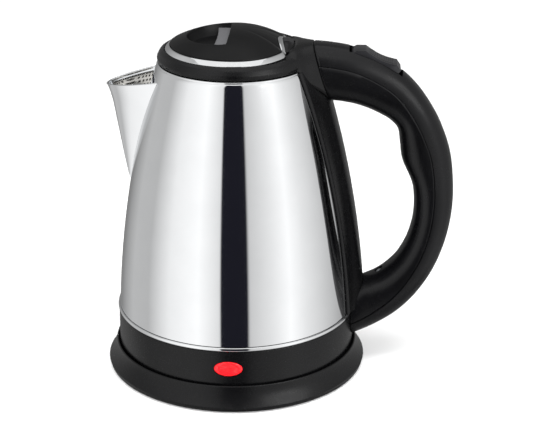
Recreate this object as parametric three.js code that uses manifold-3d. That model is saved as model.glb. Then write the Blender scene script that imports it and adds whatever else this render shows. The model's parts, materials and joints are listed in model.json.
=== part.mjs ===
// Electric kettle: a 360 degree power base, a tapered steel body with a soldered-on spout,
// a collar with a bracket and a D handle, a hinged lid with a finger latch, and a rocker
// switch on the handle. Millimetres, +Z up, +X towards the handle, -X towards the spout.
// The origin is on the kettle's axis, in the plane of the power base's lower edge.
import * as THREE from 'three';
import { mergeVertices } from 'three/addons/utils/BufferGeometryUtils.js';
import Module from 'manifold-3d';

const wasm = await Module();
wasm.setup();

// ---------- driving dimensions ----------
const GAP = 0.3; // clearance between neighbouring pieces
const RADIAN = Math.PI / 180;

const BASE_RADIUS = 82.5; // widest part of the power base's flared skirt
const BASE_RIM_RADIUS = 77.3; // outer radius of the rim round the dish
const BASE_RIM_TOP = 15.2;
const DISH_FLOOR = 8;
const DISH_RADIUS = 76.2;
const FOOT_DROP = 1; // how far the rubber feet stand below the skirt
const FOOT_CIRCLE = 66;

const BAND_RADIUS = 75.2; // black band round the foot of the kettle
const BAND_BOTTOM = 9.6;
const BAND_TOP = 37.3;
const BAND_WALL = 2.2;
const TRIM_RADIUS = 75.9; // bright ring between the band and the steel
const TRIM_TOP = 39.9;

const STEEL_BOTTOM = 40.2;
const STEEL_TOP = 198.8;
const STEEL_FOOT_RADIUS = 74.4;
const STEEL_WALL = 1;
const STEEL_TAPER = 0.0393; // linear part of the inward slope
const STEEL_BULGE = 0.000829; // quadratic part, which makes the barrel shape

const COLLAR_RADIUS = 47.2;
const COLLAR_BOTTOM = 199.2;
const NECK_INNER = 38.4;
const NECK_OUTER = 40.6;
const NECK_BOTTOM = 189;

const LID_SEAT = 206.4; // where the lid's rim sits on the collar
const LID_RADIUS = 42.5; // outer edge of the bright ring round the lid
const LID_EDGE_HEIGHT = 207;
const LID_APEX = 219.2;
const LID_RING_WIDTH = 3.1;
const LID_RING_RISE = 3.1;
const LID_SKIN = 2;
const REAR_CHORD = 29.6; // how far back the lid reaches in front of the hinge crest
const CREST_RISE = 6.3; // the hinge crest over the lid's edge
const CREST_HALF_WIDTH = 16;

const HINGE = { x: 31.8, z: 207.8 };
const BARREL_HALF = 14; // the hinge barrel is a spindle: it tapers outwards as the crest falls
const HINGE_ARM_HALF = 4; // the middle knuckle, which belongs to the lid

const RECESS_RADIUS = 24.5; // round finger recess in the lid
const RECESS_CENTRE = -4.8;
const GRIP_CURVE = 0.002; // the latch's grip curves forwards by this much of the width squared
const RECESS_FLOOR = 208.6;
const LATCH_TRAVEL = 3;
const LATCH_BACK = -2.4; // rear face of the latch's grip, post and bolt at rest
const BOLT_TIP = -37.4; // the bolt stops just inside the neck, so that it clears the lid's swing

const HANDLE_WALL = 2.4;
const RIDGE_HALF_WIDTH = 14.5; // raised middle of the spine
const PARTING_DEPTH = 12; // seam of the two handle halves, below the handle's back
const SECTION_POWER = 2.4; // how square the handle's rounded section is

const SWITCH_HALF_WIDTH = 7;
const SWITCH_PIVOT = { x: 87, z: 195.5 };
const LEVER_PIVOT = { x: 89, z: 184.8 };

const SPOUT_APEX = 120.6; // lowest point of the spout's seam
const SPOUT_RIM = 188.5; // height of the spout's rim at the body
const SPOUT_HALF_WIDTH = 20.6; // at the rim, where it meets the body
const SPOUT_TIP = { x: -81.5, z: 182.2 };
const SPOUT_WALL = 1;
const FILTER_SETBACK = 0.9; // from the filter to the steel wall

const SOCKET_PILLAR_RADIUS = 12.6;
const SOCKET_PILLAR_TOP = 22;
const CONNECTOR_RADIUS = 22.4;
const CONNECTOR_BORE = 13.3;

const WIDE = 36; // facets round the body and the power base
const FINE = 24; // facets round a middling turned piece
const COARSE = 12; // facets round a small one

// ---------- materials ----------
const finish = (color, roughness, metalness = 0) => ({ color, roughness, metalness });
const BLACK = finish(0x121214, 0.42);
const DARK = finish(0x1c1c1e, 0.6);
const GREY = finish(0x4a4a4e, 0.5);
const RUBBER = finish(0x17171a, 0.9);
const SILICONE = finish(0xd8d8d2, 0.7);
const STEEL = finish(0xd4d6d8, 0.12, 1);
const CHROME = finish(0xe6e8ea, 0.05, 1);
const ZINC = finish(0xb9bcc0, 0.35, 1);
const BRASS = finish(0xc9a24a, 0.3, 1);
const ALUMINIUM = finish(0xaeb1b5, 0.45, 1);
const RED = finish(0xf01820, 0.25);
const PHENOLIC = finish(0x2b2622, 0.7);
const LEAD = finish(0x6b2a22, 0.6);

// ---------- geometry helpers ----------
function toSolid(geometry) {
  const bare = geometry.clone();
  bare.deleteAttribute('normal');
  bare.deleteAttribute('uv');
  const merged = mergeVertices(bare, 1e-4);
  const corners = merged.index.array;
  const kept = [];
  for (let i = 0; i < corners.length; i += 3) {
    const [a, b, c] = [corners[i], corners[i + 1], corners[i + 2]];
    if (a !== b && b !== c && c !== a) kept.push(a, b, c);
  }
  const vertProperties = new Float32Array(merged.attributes.position.array);
  if (signedVolume(vertProperties, kept) < 0) kept.reverse();
  return new wasm.Manifold(new wasm.Mesh({ numProp: 3, vertProperties, triVerts: new Uint32Array(kept) }));
}

function signedVolume(points, corners) {
  const [a, b, c] = [new THREE.Vector3(), new THREE.Vector3(), new THREE.Vector3()];
  let total = 0;
  for (let i = 0; i < corners.length; i += 3) {
    a.fromArray(points, corners[i] * 3);
    b.fromArray(points, corners[i + 1] * 3);
    c.fromArray(points, corners[i + 2] * 3);
    total += a.dot(b.cross(c));
  }
  return total;
}

function toGeometry(solid) {
  const { vertProperties, triVerts } = solid.getMesh();
  const geometry = new THREE.BufferGeometry();
  geometry.setAttribute('position', new THREE.BufferAttribute(new Float32Array(vertProperties), 3));
  geometry.setIndex(new THREE.BufferAttribute(new Uint32Array(triVerts), 1));
  geometry.computeVertexNormals();
  return geometry;
}

const cut = (solid, ...tools) => tools.reduce((rest, tool) => rest.subtract(tool), solid);
const join = (solid, ...others) => others.reduce((sum, other) => sum.add(other), solid);

// A body of revolution about Z from a closed outline of [radius, height] points.
function turned(outline, facets = FINE) {
  const points = outline.map(([r, z]) => new THREE.Vector2(r, z));
  points.push(points[0].clone());
  return toSolid(new THREE.LatheGeometry(points, facets).rotateX(Math.PI / 2));
}

const tube = (inner, outer, low, high, facets) =>
  turned([[inner, low], [outer, low], [outer, high], [inner, high]], facets);
const disc = (radius, low, high, facets) =>
  turned([[0, low], [radius, low], [radius, high], [0, high]], facets);

function block(x0, x1, y0, y1, z0, z1) {
  const geometry = new THREE.BoxGeometry(x1 - x0, y1 - y0, z1 - z0);
  return toSolid(geometry.translate((x0 + x1) / 2, (y0 + y1) / 2, (z0 + z1) / 2));
}

// An outline of [x, z] points, extruded across the kettle from y0 to y1.
function sidePlate(outline, y0, y1) {
  const shape = new THREE.Shape(outline.map(([x, z]) => new THREE.Vector2(x, z)));
  const geometry = new THREE.ExtrudeGeometry(shape, { depth: y1 - y0, bevelEnabled: false });
  return toSolid(geometry.rotateX(Math.PI / 2).translate(0, y1, 0));
}

// An outline of [x, y] points, extruded upwards from z0 to z1.
function planPlate(outline, z0, z1) {
  const shape = new THREE.Shape(outline.map(([x, y]) => new THREE.Vector2(x, y)));
  const geometry = new THREE.ExtrudeGeometry(shape, { depth: z1 - z0, bevelEnabled: false });
  return toSolid(geometry.translate(0, 0, z0));
}

const circle = (x, z, radius, facets = COARSE) =>
  Array.from({ length: facets }, (_, i) => {
    const angle = (i / facets) * Math.PI * 2;
    return [x + radius * Math.cos(angle), z + radius * Math.sin(angle)];
  });

// A round bar across the kettle, along Y.
const crossBar = (x, z, radius, y0, y1, facets = COARSE) =>
  sidePlate(circle(x, z, radius, facets), y0, y1);

function uprightBar(x, y, radius, low, high, facets = COARSE) {
  return disc(radius, low, high, facets).translate([x, y, 0]);
}

// A skin through rings of points, closed at both ends. The end caps are cut flat across the
// two coordinates named by capAxes.
function loft(rings, capAxes) {
  const count = rings[0].length;
  const positions = rings.flat().flat();
  const index = [];
  for (let ring = 0; ring + 1 < rings.length; ring += 1) {
    for (let i = 0; i < count; i += 1) {
      const a = ring * count + i;
      const b = ring * count + ((i + 1) % count);
      index.push(a, b, b + count, a, b + count, a + count);
    }
  }
  for (const [ring, flip] of [[0, true], [rings.length - 1, false]]) {
    const flat = rings[ring].map((point) => new THREE.Vector2(point[capAxes[0]], point[capAxes[1]]));
    const forwards = !THREE.ShapeUtils.isClockWise(flat);
    for (const [a, b, c] of THREE.ShapeUtils.triangulateShape(flat, [])) {
      const face = [a, b, c].map((corner) => corner + ring * count);
      index.push(...(flip === forwards ? face.reverse() : face));
    }
  }
  const geometry = new THREE.BufferGeometry();
  geometry.setAttribute('position', new THREE.Float32BufferAttribute(positions, 3));
  geometry.setIndex(index);
  return toSolid(geometry);
}

const ringSteps = (count) => Array.from({ length: count }, (_, i) => i / count);
const steps = (count) => Array.from({ length: count + 1 }, (_, i) => i / count);
const mix = THREE.MathUtils.lerp;

// ---------- shared shapes ----------
const steelRadius = (z) => {
  const rise = z - STEEL_BOTTOM;
  return STEEL_FOOT_RADIUS - STEEL_TAPER * rise - STEEL_BULGE * rise * rise;
};

// The steel body, the bright ring and the band as one plain solid, grown by a clearance.
function bodyEnvelope(clearance) {
  const wall = steps(10).map((u) => {
    const z = mix(STEEL_BOTTOM, STEEL_TOP, u);
    return [steelRadius(z) + clearance, z];
  });
  return turned([
    [0, BAND_BOTTOM - 2],
    [BAND_RADIUS + clearance, BAND_BOTTOM - 2],
    [BAND_RADIUS + clearance, BAND_TOP - clearance],
    [TRIM_RADIUS + clearance, BAND_TOP - clearance],
    [TRIM_RADIUS + clearance, TRIM_TOP + clearance],
    ...wall,
    [0, STEEL_TOP],
  ], WIDE * 2);
}

// Handle stations: a point on the handle's back, the facing point on its grip side, and the
// half width across. The first belongs to the collar's bracket.
const HANDLE_STATIONS = [
  { back: [48.3, 211.4], grip: [59.3, 175.4], half: 16 },
  { back: [60.5, 210.4], grip: [66.5, 174.6], half: 15.4 },
  { back: [74, 207.8], grip: [74.5, 173], half: 14.8 },
  { back: [88, 202.3], grip: [82.5, 170.3], half: 14.3 },
  { back: [101.7, 194.4], grip: [89.5, 167], half: 14 },
  { back: [112, 184.7], grip: [95.7, 163.3], half: 14 },
  { back: [121, 172.2], grip: [100.6, 157.5], half: 14 },
  { back: [128.1, 158.5], grip: [102.2, 148], half: 14 },
  { back: [134, 140.6], grip: [104, 137], half: 13.8 },
  { back: [136.4, 118.7], grip: [110.8, 120.5], half: 13.6 },
  { back: [135.8, 100.9], grip: [111.9, 102], half: 13.6 },
  { back: [132.4, 82.8], grip: [108.6, 86], half: 13.8 },
  { back: [125.7, 64.4], grip: [102.8, 74], half: 14.2 },
  { back: [115.7, 48], grip: [97.2, 67.2], half: 14.6 },
  { back: [103.3, 34.8], grip: [91, 62], half: 15 },
  { back: [88.7, 25.1], grip: [85.5, 58.8], half: 15.5 },
  { back: [75.6, 18.9], grip: [80.6, 56.6], half: 16 },
  { back: [66, 15.5], grip: [74, 54], half: 16 },
];

// One point of a rounded section: angle 0 is the handle's back, 180 degrees its grip side.
function sectionPoint(station, angle, inset) {
  const [backX, backZ] = station.back;
  const [gripX, gripZ] = station.grip;
  const depth = Math.hypot(backX - gripX, backZ - gripZ) / 2;
  const power = 2 / SECTION_POWER;
  const along = Math.sign(Math.cos(angle)) * Math.abs(Math.cos(angle)) ** power * (depth - inset);
  const across = Math.sign(Math.sin(angle)) * Math.abs(Math.sin(angle)) ** power * (station.half - inset);
  const unitX = (backX - gripX) / 2 / depth;
  const unitZ = (backZ - gripZ) / 2 / depth;
  return [(backX + gripX) / 2 + unitX * along, across, (backZ + gripZ) / 2 + unitZ * along];
}

// The angle at which a section reaches a given depth below the handle's back.
function angleAtDepth(station, depthBelow, inset) {
  const depth = Math.hypot(station.back[0] - station.grip[0], station.back[1] - station.grip[1]) / 2;
  const along = (depth - depthBelow) / (depth - inset);
  return Math.acos(Math.sign(along) * Math.abs(along) ** (SECTION_POWER / 2));
}

// Half of the hollow handle, as a channel swept through the stations.
function handleHalf(side) {
  const rings = HANDLE_STATIONS.map((station) => {
    const seam = PARTING_DEPTH + (side === 'back' ? -GAP / 2 : GAP / 2);
    const sweep = (inset) => {
      const edge = angleAtDepth(station, seam, inset);
      const from = side === 'back' ? -edge : edge;
      const to = side === 'back' ? edge : Math.PI * 2 - edge;
      return steps(7).map((u) => sectionPoint(station, mix(from, to, u), inset));
    };
    return [...sweep(0), ...sweep(HANDLE_WALL).reverse()];
  });
  return loft(rings, [0, 1]);
}

// The solid bracket that carries the handle from the collar. It flares out into the collar.
function bracketBlock(clearance) {
  const stations = [
    { back: [31, 211.7 + clearance], grip: [33, 196 - clearance], half: 22 + clearance },
    { back: [36, 211.6 + clearance], grip: [42, 189 - clearance], half: 26 + clearance },
    { back: [41.4, 211.5 + clearance], grip: [50, 182 - clearance], half: 21.5 + clearance },
    { back: [47.9 + clearance, 211.4 + clearance], grip: [58.9 + clearance, 175.4 - clearance],
      half: CREST_HALF_WIDTH + clearance },
  ];
  const around = ringSteps(24).map((u) => u * Math.PI * 2);
  return loft(stations.map((station) => around.map((angle) => sectionPoint(station, angle, 0))), [1, 2]);
}

// The handle's spine: a cover that hugs the steel from the bright ring to the bracket.
function spineBlock(clearance, inset) {
  const rings = steps(7).map((u) => {
    const z = mix(TRIM_TOP + GAP, COLLAR_BOTTOM - 0.4, u);
    const wide = mix(22.5, 26.5, u) + clearance;
    const proud = mix(7.6, 5.4, u) + clearance - inset;
    const reach = wide - (inset > 0 ? 8 : 0);
    const base = steelRadius(z) + GAP - (inset > 0 ? 4 : clearance);
    const across = steps(10).map((v) => mix(-reach, reach, v));
    const inner = across.map((y) => [Math.sqrt(base * base - y * y), y, z]);
    const outer = across.map((y) => {
      const crown = 1 / (1 + Math.abs(y / RIDGE_HALF_WIDTH) ** 6);
      const radius = steelRadius(z) + GAP + 1.2 + (proud - 1.2) * crown;
      return [Math.sqrt(radius * radius - y * y), y, z];
    });
    return [...inner, ...outer.reverse()];
  });
  return loft(rings, [0, 1]);
}

// The lid's outline in plan, as a radius at an angle from +X: round, narrowing towards the
// handle, and closed by a shallow hollow in front of the hinge crest.
function lidRadius(angle, inset) {
  const turnedBy = Math.abs(Math.atan2(Math.sin(angle), Math.cos(angle)));
  const narrowing = 12.5 * Math.max(0, 1 - turnedBy / (80 * RADIAN)) ** 1.5;
  const round = LID_RADIUS - narrowing - inset;
  if (turnedBy > 45 * RADIAN) return round;
  const y = round * Math.sin(turnedBy);
  const chord = (REAR_CHORD + 2.6 * (y / 15) ** 2 - inset) / Math.cos(turnedBy);
  return Math.min(round + 1.4 * Math.exp(-(((turnedBy - 28 * RADIAN) / 0.2) ** 2)), chord);
}

// How much the collar's crest lifts the lid's edge at a point of the outline.
const crestLift = (x, y) =>
  x > 20 && Math.abs(y) < CREST_HALF_WIDTH ? CREST_RISE * (1 - (y / CREST_HALF_WIDTH) ** 2) : 0;

const LID_ANGLES = [
  ...[-24, -18, -12, -6, 0, 6, 12, 18, 24].map((degrees) => degrees * RADIAN),
  ...steps(20).map((u) => mix(29, 331, u) * RADIAN),
];

// Rings of the lid, from its rim towards the middle, at a depth below the top surface.
function domeRing(share, inset, depth) {
  return LID_ANGLES.map((angle) => {
    const rim = lidRadius(angle, inset);
    const radius = rim * share;
    const edge = lidRadius(angle, 0);
    const lift = crestLift(edge * Math.cos(angle), edge * Math.sin(angle));
    const rimHeight = LID_EDGE_HEIGHT + lift + LID_RING_RISE * (1 - lift / CREST_RISE);
    const height = rimHeight + (LID_APEX - rimHeight) * (1 - share ** 2.1) - depth;
    return [radius * Math.cos(angle), radius * Math.sin(angle), height];
  });
}

function domeSolid(inset, depth, floor) {
  const top = [1, 0.85, 0.65, 0.4, 0.02].map((share) => domeRing(share, inset, depth));
  const skirt = top[0].map(([x, y]) => [x, y, floor]);
  return loft([skirt, ...top], [0, 1]);
}

// The hinge's barrel, as thick as the crest is high at each point, or the room that it takes.
function hingeBarrel(clearance, half) {
  const outline = steps(12).map((u) => {
    const y = mix(-half, half, u);
    const radius = LID_EDGE_HEIGHT + crestLift(REAR_CHORD, y) - HINGE.z - 0.2;
    return [Math.max(radius, 0.4) + clearance, y];
  });
  const upright = turned([[0, -half], ...outline, [0, half]], 32);
  return upright.rotate([90, 0, 0]).translate([HINGE.x, 0, HINGE.z]);
}

// ---------- pieces ----------
const group = new THREE.Group();

function place(name, solid, look, parent = group) {
  const mesh = new THREE.Mesh(toGeometry(solid), new THREE.MeshStandardMaterial(look));
  mesh.name = name;
  parent.add(mesh);
}

function buildPowerBase() {
  const flare = steps(5).map((u) => {
    const z = mix(3, BASE_RIM_TOP - 0.5, u);
    return [BASE_RIM_RADIUS + (BASE_RADIUS - BASE_RIM_RADIUS) * (1 - u) ** 1.7, z];
  });
  const shell = turned([
    [80.2, 0], [BASE_RADIUS - 0.6, 0], ...flare,
    [BASE_RIM_RADIUS - 0.4, BASE_RIM_TOP], [DISH_RADIUS + 0.3, BASE_RIM_TOP],
    [DISH_RADIUS, BASE_RIM_TOP - 0.6], [DISH_RADIUS, DISH_FLOOR], [26.5, DISH_FLOOR], [26.5, DISH_FLOOR - 2],
    [75.4, DISH_FLOOR - 2], [76.6, 5], [80.2, 2.6],
  ], WIDE);
  const cordNotch = block(-4.8, 4.8, 74, 90, -1, 6);
  place('power_base_shell', cut(shell, cordNotch), BLACK);

  // The bottom plate is flat and raised a little round a low hub in the middle.
  const plate = turned([
    [0, 0], [22, 0], [24, 2], [78, 2], [78, 0.8], [79.4, 0.8], [79.4, 2.4], [76, 3.4], [0, 3.4],
  ]);
  const screwHoles = [30, 150, 270].map((degrees) => atAngle(uprightHole(3.2, -1, 5), 52, degrees));
  const gland = block(-5.1, 5.1, 65.6, 90, -1, 6);
  const bottom = cut(plate, ...screwHoles, gland);
  place('power_base_bottom', bottom, DARK);
  [45, 135, 225, 315].forEach((degrees, i) => {
    const foot = turned([[0, -FOOT_DROP], [5.2, -FOOT_DROP], [6, -0.2], [6, 1.7], [0, 1.7]], COARSE);
    place(`base_foot_${i + 1}`, atAngle(foot, FOOT_CIRCLE, degrees), RUBBER);
  });
  [30, 150, 270].forEach((degrees, i) => {
    const upsideDown = turned([[0, 1], [2.8, 1], [2.8, 2.8], [1.5, 2.8], [1.5, 5.4], [0, 5.4]], 12);
    place(`base_screw_${i + 1}`, atAngle(upsideDown, 52, degrees), ZINC);
  });
  place('cord_gland', cordGland(), RUBBER);
}

const atAngle = (solid, radius, degrees) => solid.translate([radius, 0, 0]).rotate([0, 0, degrees]);
const uprightHole = (radius, low, high) => disc(radius, low, high, 16);

// A flanged rubber sleeve in the skirt's notch. The mains lead would pass through its bore.
function cordGland() {
  const sleeve = block(-4.4, 4.4, 66, 84.6, 0.1, 5.7);
  const flange = block(-4.8, 4.8, 66, 68, 0, 5.7);
  return cut(join(sleeve, flange), block(-2.9, 2.9, 60, 90, 0.9, 5.2));
}

function buildSocket() {
  const housing = turned([
    [0, 3.8], [26, 3.8], [26, 5.4], [25.2, 5.4], [25.2, DISH_FLOOR + 0.4], [24.4, DISH_FLOOR + 0.8],
    [23.6, DISH_FLOOR + 0.8], [23.6, 7.6], [SOCKET_PILLAR_RADIUS, 7.6], [SOCKET_PILLAR_RADIUS, 20.8],
    [11.4, SOCKET_PILLAR_TOP], [9, SOCKET_PILLAR_TOP], [9, 10], [6.6, 10], [6.6, SOCKET_PILLAR_TOP],
    [3.4, SOCKET_PILLAR_TOP], [3.4, 9], [0, 9],
  ], FINE);
  place('socket_pillar', housing, DARK);
  const ring = turned([
    [13.2, 8], [23.2, 8], [23.2, 8.9], [22.4, 9.5], [14, 9.5], [13.2, 8.9],
  ], FINE);
  place('socket_turning_ring', ring, GREY);
  place('socket_ring_contact', tube(7.2, 8.4, 10.4, 20.6, 20), BRASS);
  place('socket_centre_contact', turned([[0, 9.4], [2.8, 9.4], [2.8, 17], [2, 18.6], [0, 18.6]], 16), BRASS);
}

function buildKettleFoot() {
  const inner = BAND_RADIUS - BAND_WALL;
  const skirt = turned([
    [inner, BAND_BOTTOM + 0.2], [BAND_RADIUS - 0.8, BAND_BOTTOM], [BAND_RADIUS, BAND_BOTTOM + 0.8],
    [BAND_RADIUS, BAND_TOP - 0.5], [BAND_RADIUS - 0.5, BAND_TOP], [inner - 1.6, BAND_TOP],
    [inner - 1.6, BAND_TOP - 1.8], [inner, BAND_TOP - 3.4],
  ], WIDE);
  const lensHole = lensPlug(0.35, -8);
  const leadSlot = block(66, 80, -2.6, 2.6, 26, 50);
  place('base_skirt', cut(skirt, lensHole, leadSlot), BLACK);

  const trim = turned([
    [inner - 1, BAND_TOP + GAP], [TRIM_RADIUS - 0.5, BAND_TOP + GAP], [TRIM_RADIUS, BAND_TOP + 0.9],
    [TRIM_RADIUS, TRIM_TOP - 0.5], [TRIM_RADIUS - 0.6, TRIM_TOP], [inner - 1, TRIM_TOP],
  ], WIDE);
  place('bottom_trim_ring', cut(trim, leadSlot), CHROME);

  const cover = turned([
    [CONNECTOR_RADIUS + GAP, BAND_BOTTOM + 0.6], [inner - GAP, BAND_BOTTOM + 0.6],
    [inner - GAP, BAND_BOTTOM + 2.6], [CONNECTOR_RADIUS + GAP, BAND_BOTTOM + 2.6],
  ]);
  const coverScrews = [60, 180, 300];
  const holes = coverScrews.map((degrees) => atAngle(uprightHole(3.1, 5, 20), 58, degrees));
  place('bottom_cover', cut(cover, ...holes), DARK);
  coverScrews.forEach((degrees, i) => {
    const body = turned([[0, 10.6], [2.7, 10.6], [2.7, 12.4], [1.5, 12.4], [1.5, 18], [0, 18]], 12);
    place(`bottom_screw_${i + 1}`, atAngle(body, 58, degrees), ZINC);
  });
  place('indicator_lens', lensPlug(0, 0), RED);
  const lamp = turned([[0, 0], [2.6, 0], [2.6, 7], [1.6, 8.6], [0, 8.6]], 16);
  place('indicator_lamp', lamp.rotate([90, 0, 0]).translate([0, -60.5, 25.9]), SILICONE);
}

// The oval lens in the front of the band: half axes 8.7 and 4.7.
function lensPlug(clearance, depth) {
  const outline = circle(0, 0, 1, 28).map(([x, z]) => [x * (8.7 + clearance), 25.9 + z * (4.7 + clearance)]);
  const plug = sidePlate(outline, -BAND_RADIUS - 1.2, -BAND_RADIUS + BAND_WALL + 1.6 - depth);
  return depth < 0 ? plug : plug.intersect(disc(BAND_RADIUS + 0.7, 10, 40, WIDE));
}

function buildBody() {
  const wall = steps(7).map((u) => mix(STEEL_BOTTOM, STEEL_TOP - 0.8, u));
  const shell = turned([
    ...wall.map((z) => [steelRadius(z), z]),
    [steelRadius(STEEL_TOP) - 0.5, STEEL_TOP], [NECK_OUTER + GAP, STEEL_TOP],
    [NECK_OUTER + GAP, STEEL_TOP - STEEL_WALL],
    [steelRadius(STEEL_TOP) - STEEL_WALL - 0.6, STEEL_TOP - STEEL_WALL],
    ...wall.slice(0, -1).reverse().map((z) => [steelRadius(z) - STEEL_WALL, z]),
  ], WIDE);
  place('body_shell', cut(shell, spoutMouth()), STEEL);

  const shape = spoutLoft(0);
  const hollow = spoutLoft(SPOUT_WALL);
  const aboveRim = sidePlate([
    [-30, SPOUT_RIM + 2.2], [-50, SPOUT_RIM], [SPOUT_TIP.x - 6, SPOUT_TIP.z - 0.9],
    [SPOUT_TIP.x - 6, 215], [-30, 215],
  ], -40, 40);
  place('spout', cut(shape, hollow, aboveRim, steelCore(GAP)), STEEL);

  place('spout_filter', spoutFilter(), STEEL);

  const floorRadius = steelRadius(48) - STEEL_WALL - 2 * GAP;
  place('base_plate', turned([
    [0, 44], [floorRadius - 2, 44], [floorRadius - 1.4, 42.4], [floorRadius, 42.4], [floorRadius, 47],
    [floorRadius - 1, 47], [floorRadius - 2, 45.2], [0, 45.2],
  ]), STEEL);
  place('heat_spreader', disc(56, 41, 43.7, FINE), ALUMINIUM);
  place('heating_element', heatingElement(), ZINC);
}

// The steel's outside as a plain solid, grown by a clearance.
function steelCore(clearance) {
  const wall = steps(16).map((u) => mix(STEEL_BOTTOM, STEEL_TOP, u));
  const side = wall.map((z) => [steelRadius(z) + clearance, z]);
  return turned([[0, STEEL_BOTTOM], ...side, [0, STEEL_TOP]], WIDE * 2);
}

// The spout's nose line, from the apex of its seam to the flared lip.
function spoutNose(u) {
  const z = mix(SPOUT_APEX, SPOUT_RIM, u);
  const lean = mix(-steelRadius(SPOUT_APEX) - 0.6, -78, u ** 0.92);
  return { z, x: lean - 3.4 * Math.max(0, (u - 0.72) / 0.28) ** 2 };
}

// A stack of V sections with a rounded nose. inset thins them to the inside of the sheet.
function spoutLoft(inset) {
  const rings = steps(7).map((u) => {
    const { z, x } = spoutNose(u);
    const half = Math.max(0.12, SPOUT_HALF_WIDTH * u - inset);
    const nose = Math.min(x + inset * 1.3, -steelRadius(z) + 6);
    const back = -Math.sqrt(steelRadius(z) ** 2 - half ** 2) + 5;
    const side = (sign) => steps(6).map((t) => {
      const curve = (a, b, c) => (1 - t) ** 2 * a + 2 * t * (1 - t) * b + t * t * c;
      return [curve(nose, nose + 0.8, back - 5), sign * curve(0, half * 0.6, half), z];
    });
    return [[back, -half, z], ...side(-1).reverse(), ...side(1).slice(1), [back, half, z]];
  });
  return loft(rings, [0, 1]);
}

// The opening behind the spout, a little narrower than its seam.
function spoutMouth() {
  const low = SPOUT_APEX + 22;
  const outline = [[-13.5, 186], [-12, 186.8], [12, 186.8], [13.5, 186], [3, low], [0, low - 2], [-3, low]];
  const shape = new THREE.Shape(outline.map(([y, z]) => new THREE.Vector2(y, z)));
  const geometry = new THREE.ExtrudeGeometry(shape, { depth: 50, bevelEnabled: false });
  return toSolid(geometry.rotateX(Math.PI / 2).rotateZ(-Math.PI / 2).translate(-84, 0, 0));
}

// A perforated sheet that hangs inside the body, in front of the mouth.
function spoutFilter() {
  const low = 141;
  const high = 188;
  const band = (offset) => steps(5).map((u) => {
    const z = mix(low, high, u);
    return [steelRadius(z) - STEEL_WALL - FILTER_SETBACK - offset, z];
  });
  const sheet = turned([...band(0), ...band(0.8).reverse()], WIDE);
  const window = block(-80, -30, -16, 16, low - 1, high + 1);
  const holes = [];
  for (let row = 0; row < 5; row += 1) {
    const spread = Math.min(2, row / 2);
    for (let column = -2; column <= 2; column += 1) {
      if (Math.abs(column) > spread + 0.1) continue;
      const hole = new THREE.CylinderGeometry(1.7, 1.7, 60, 6);
      holes.push(toSolid(hole.rotateZ(Math.PI / 2).translate(-60, column * 5.4, 150 + row * 7.4)));
    }
  }
  return cut(sheet.intersect(window), ...holes);
}

// A sheathed element bent into an open ring, with both ends turned down to their terminals.
function heatingElement() {
  const bend = (degrees, z, radius = 42) =>
    new THREE.Vector3(radius * Math.cos(degrees * RADIAN), radius * Math.sin(degrees * RADIAN), z);
  const route = [bend(24, 27), bend(24, 31), bend(26, 35.2)];
  for (let degrees = 34; degrees <= 326; degrees += 14.6) route.push(bend(degrees, 37.4));
  route.push(bend(334, 35.2), bend(336, 31), bend(336, 27));
  const section = new THREE.Shape(circle(0, 0, 3.1, 8).map(([x, y]) => new THREE.Vector2(x, y)));
  const path = new THREE.CatmullRomCurve3(route);
  return toSolid(new THREE.ExtrudeGeometry(section, { steps: 32, bevelEnabled: false, extrudePath: path }));
}

function buildConnector() {
  const housing = turned([
    [CONNECTOR_BORE, 10.2], [CONNECTOR_RADIUS, 10.2], [CONNECTOR_RADIUS, 24], [18, 26.6], [0, 26.6],
    [0, 25.2], [1.4, 25.2], [1.4, 23.6], [CONNECTOR_BORE, 23.6],
  ], FINE);
  place('kettle_connector', housing, DARK);
  const control = join(block(-17, 17, -12, 12, 27, 33), block(-8, 8, -17, 17, 27, 31.6));
  place('thermostat_control', control, PHENOLIC);
  [-9.5, 9.5].forEach((x, i) => {
    place(`boil_dry_disc_${i + 1}`, turned([[0, 33.4], [7.4, 33.4], [7.4, 33.9], [0, 34.6]], 20)
      .translate([x, 0, 0]), ZINC);
  });
  const blade = (y) => block(18, 34, y - 2.2, y + 2.2, 28.4, 29.4);
  const [riser1, riser2] = [block(33, 34.4, 5.8, 10.2, 25.4, 29), block(33, 34.4, -10.2, -5.8, 25.4, 29)];
  const [tab1, tab2] = [block(33, 36, 5.8, 18, 25.4, 26.6), block(33, 36, -18, -5.8, 25.4, 26.6)];
  place('element_terminal_1', join(blade(8), tab1, riser1), BRASS);
  place('element_terminal_2', join(blade(-8), tab2, riser2), BRASS);
}

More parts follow.
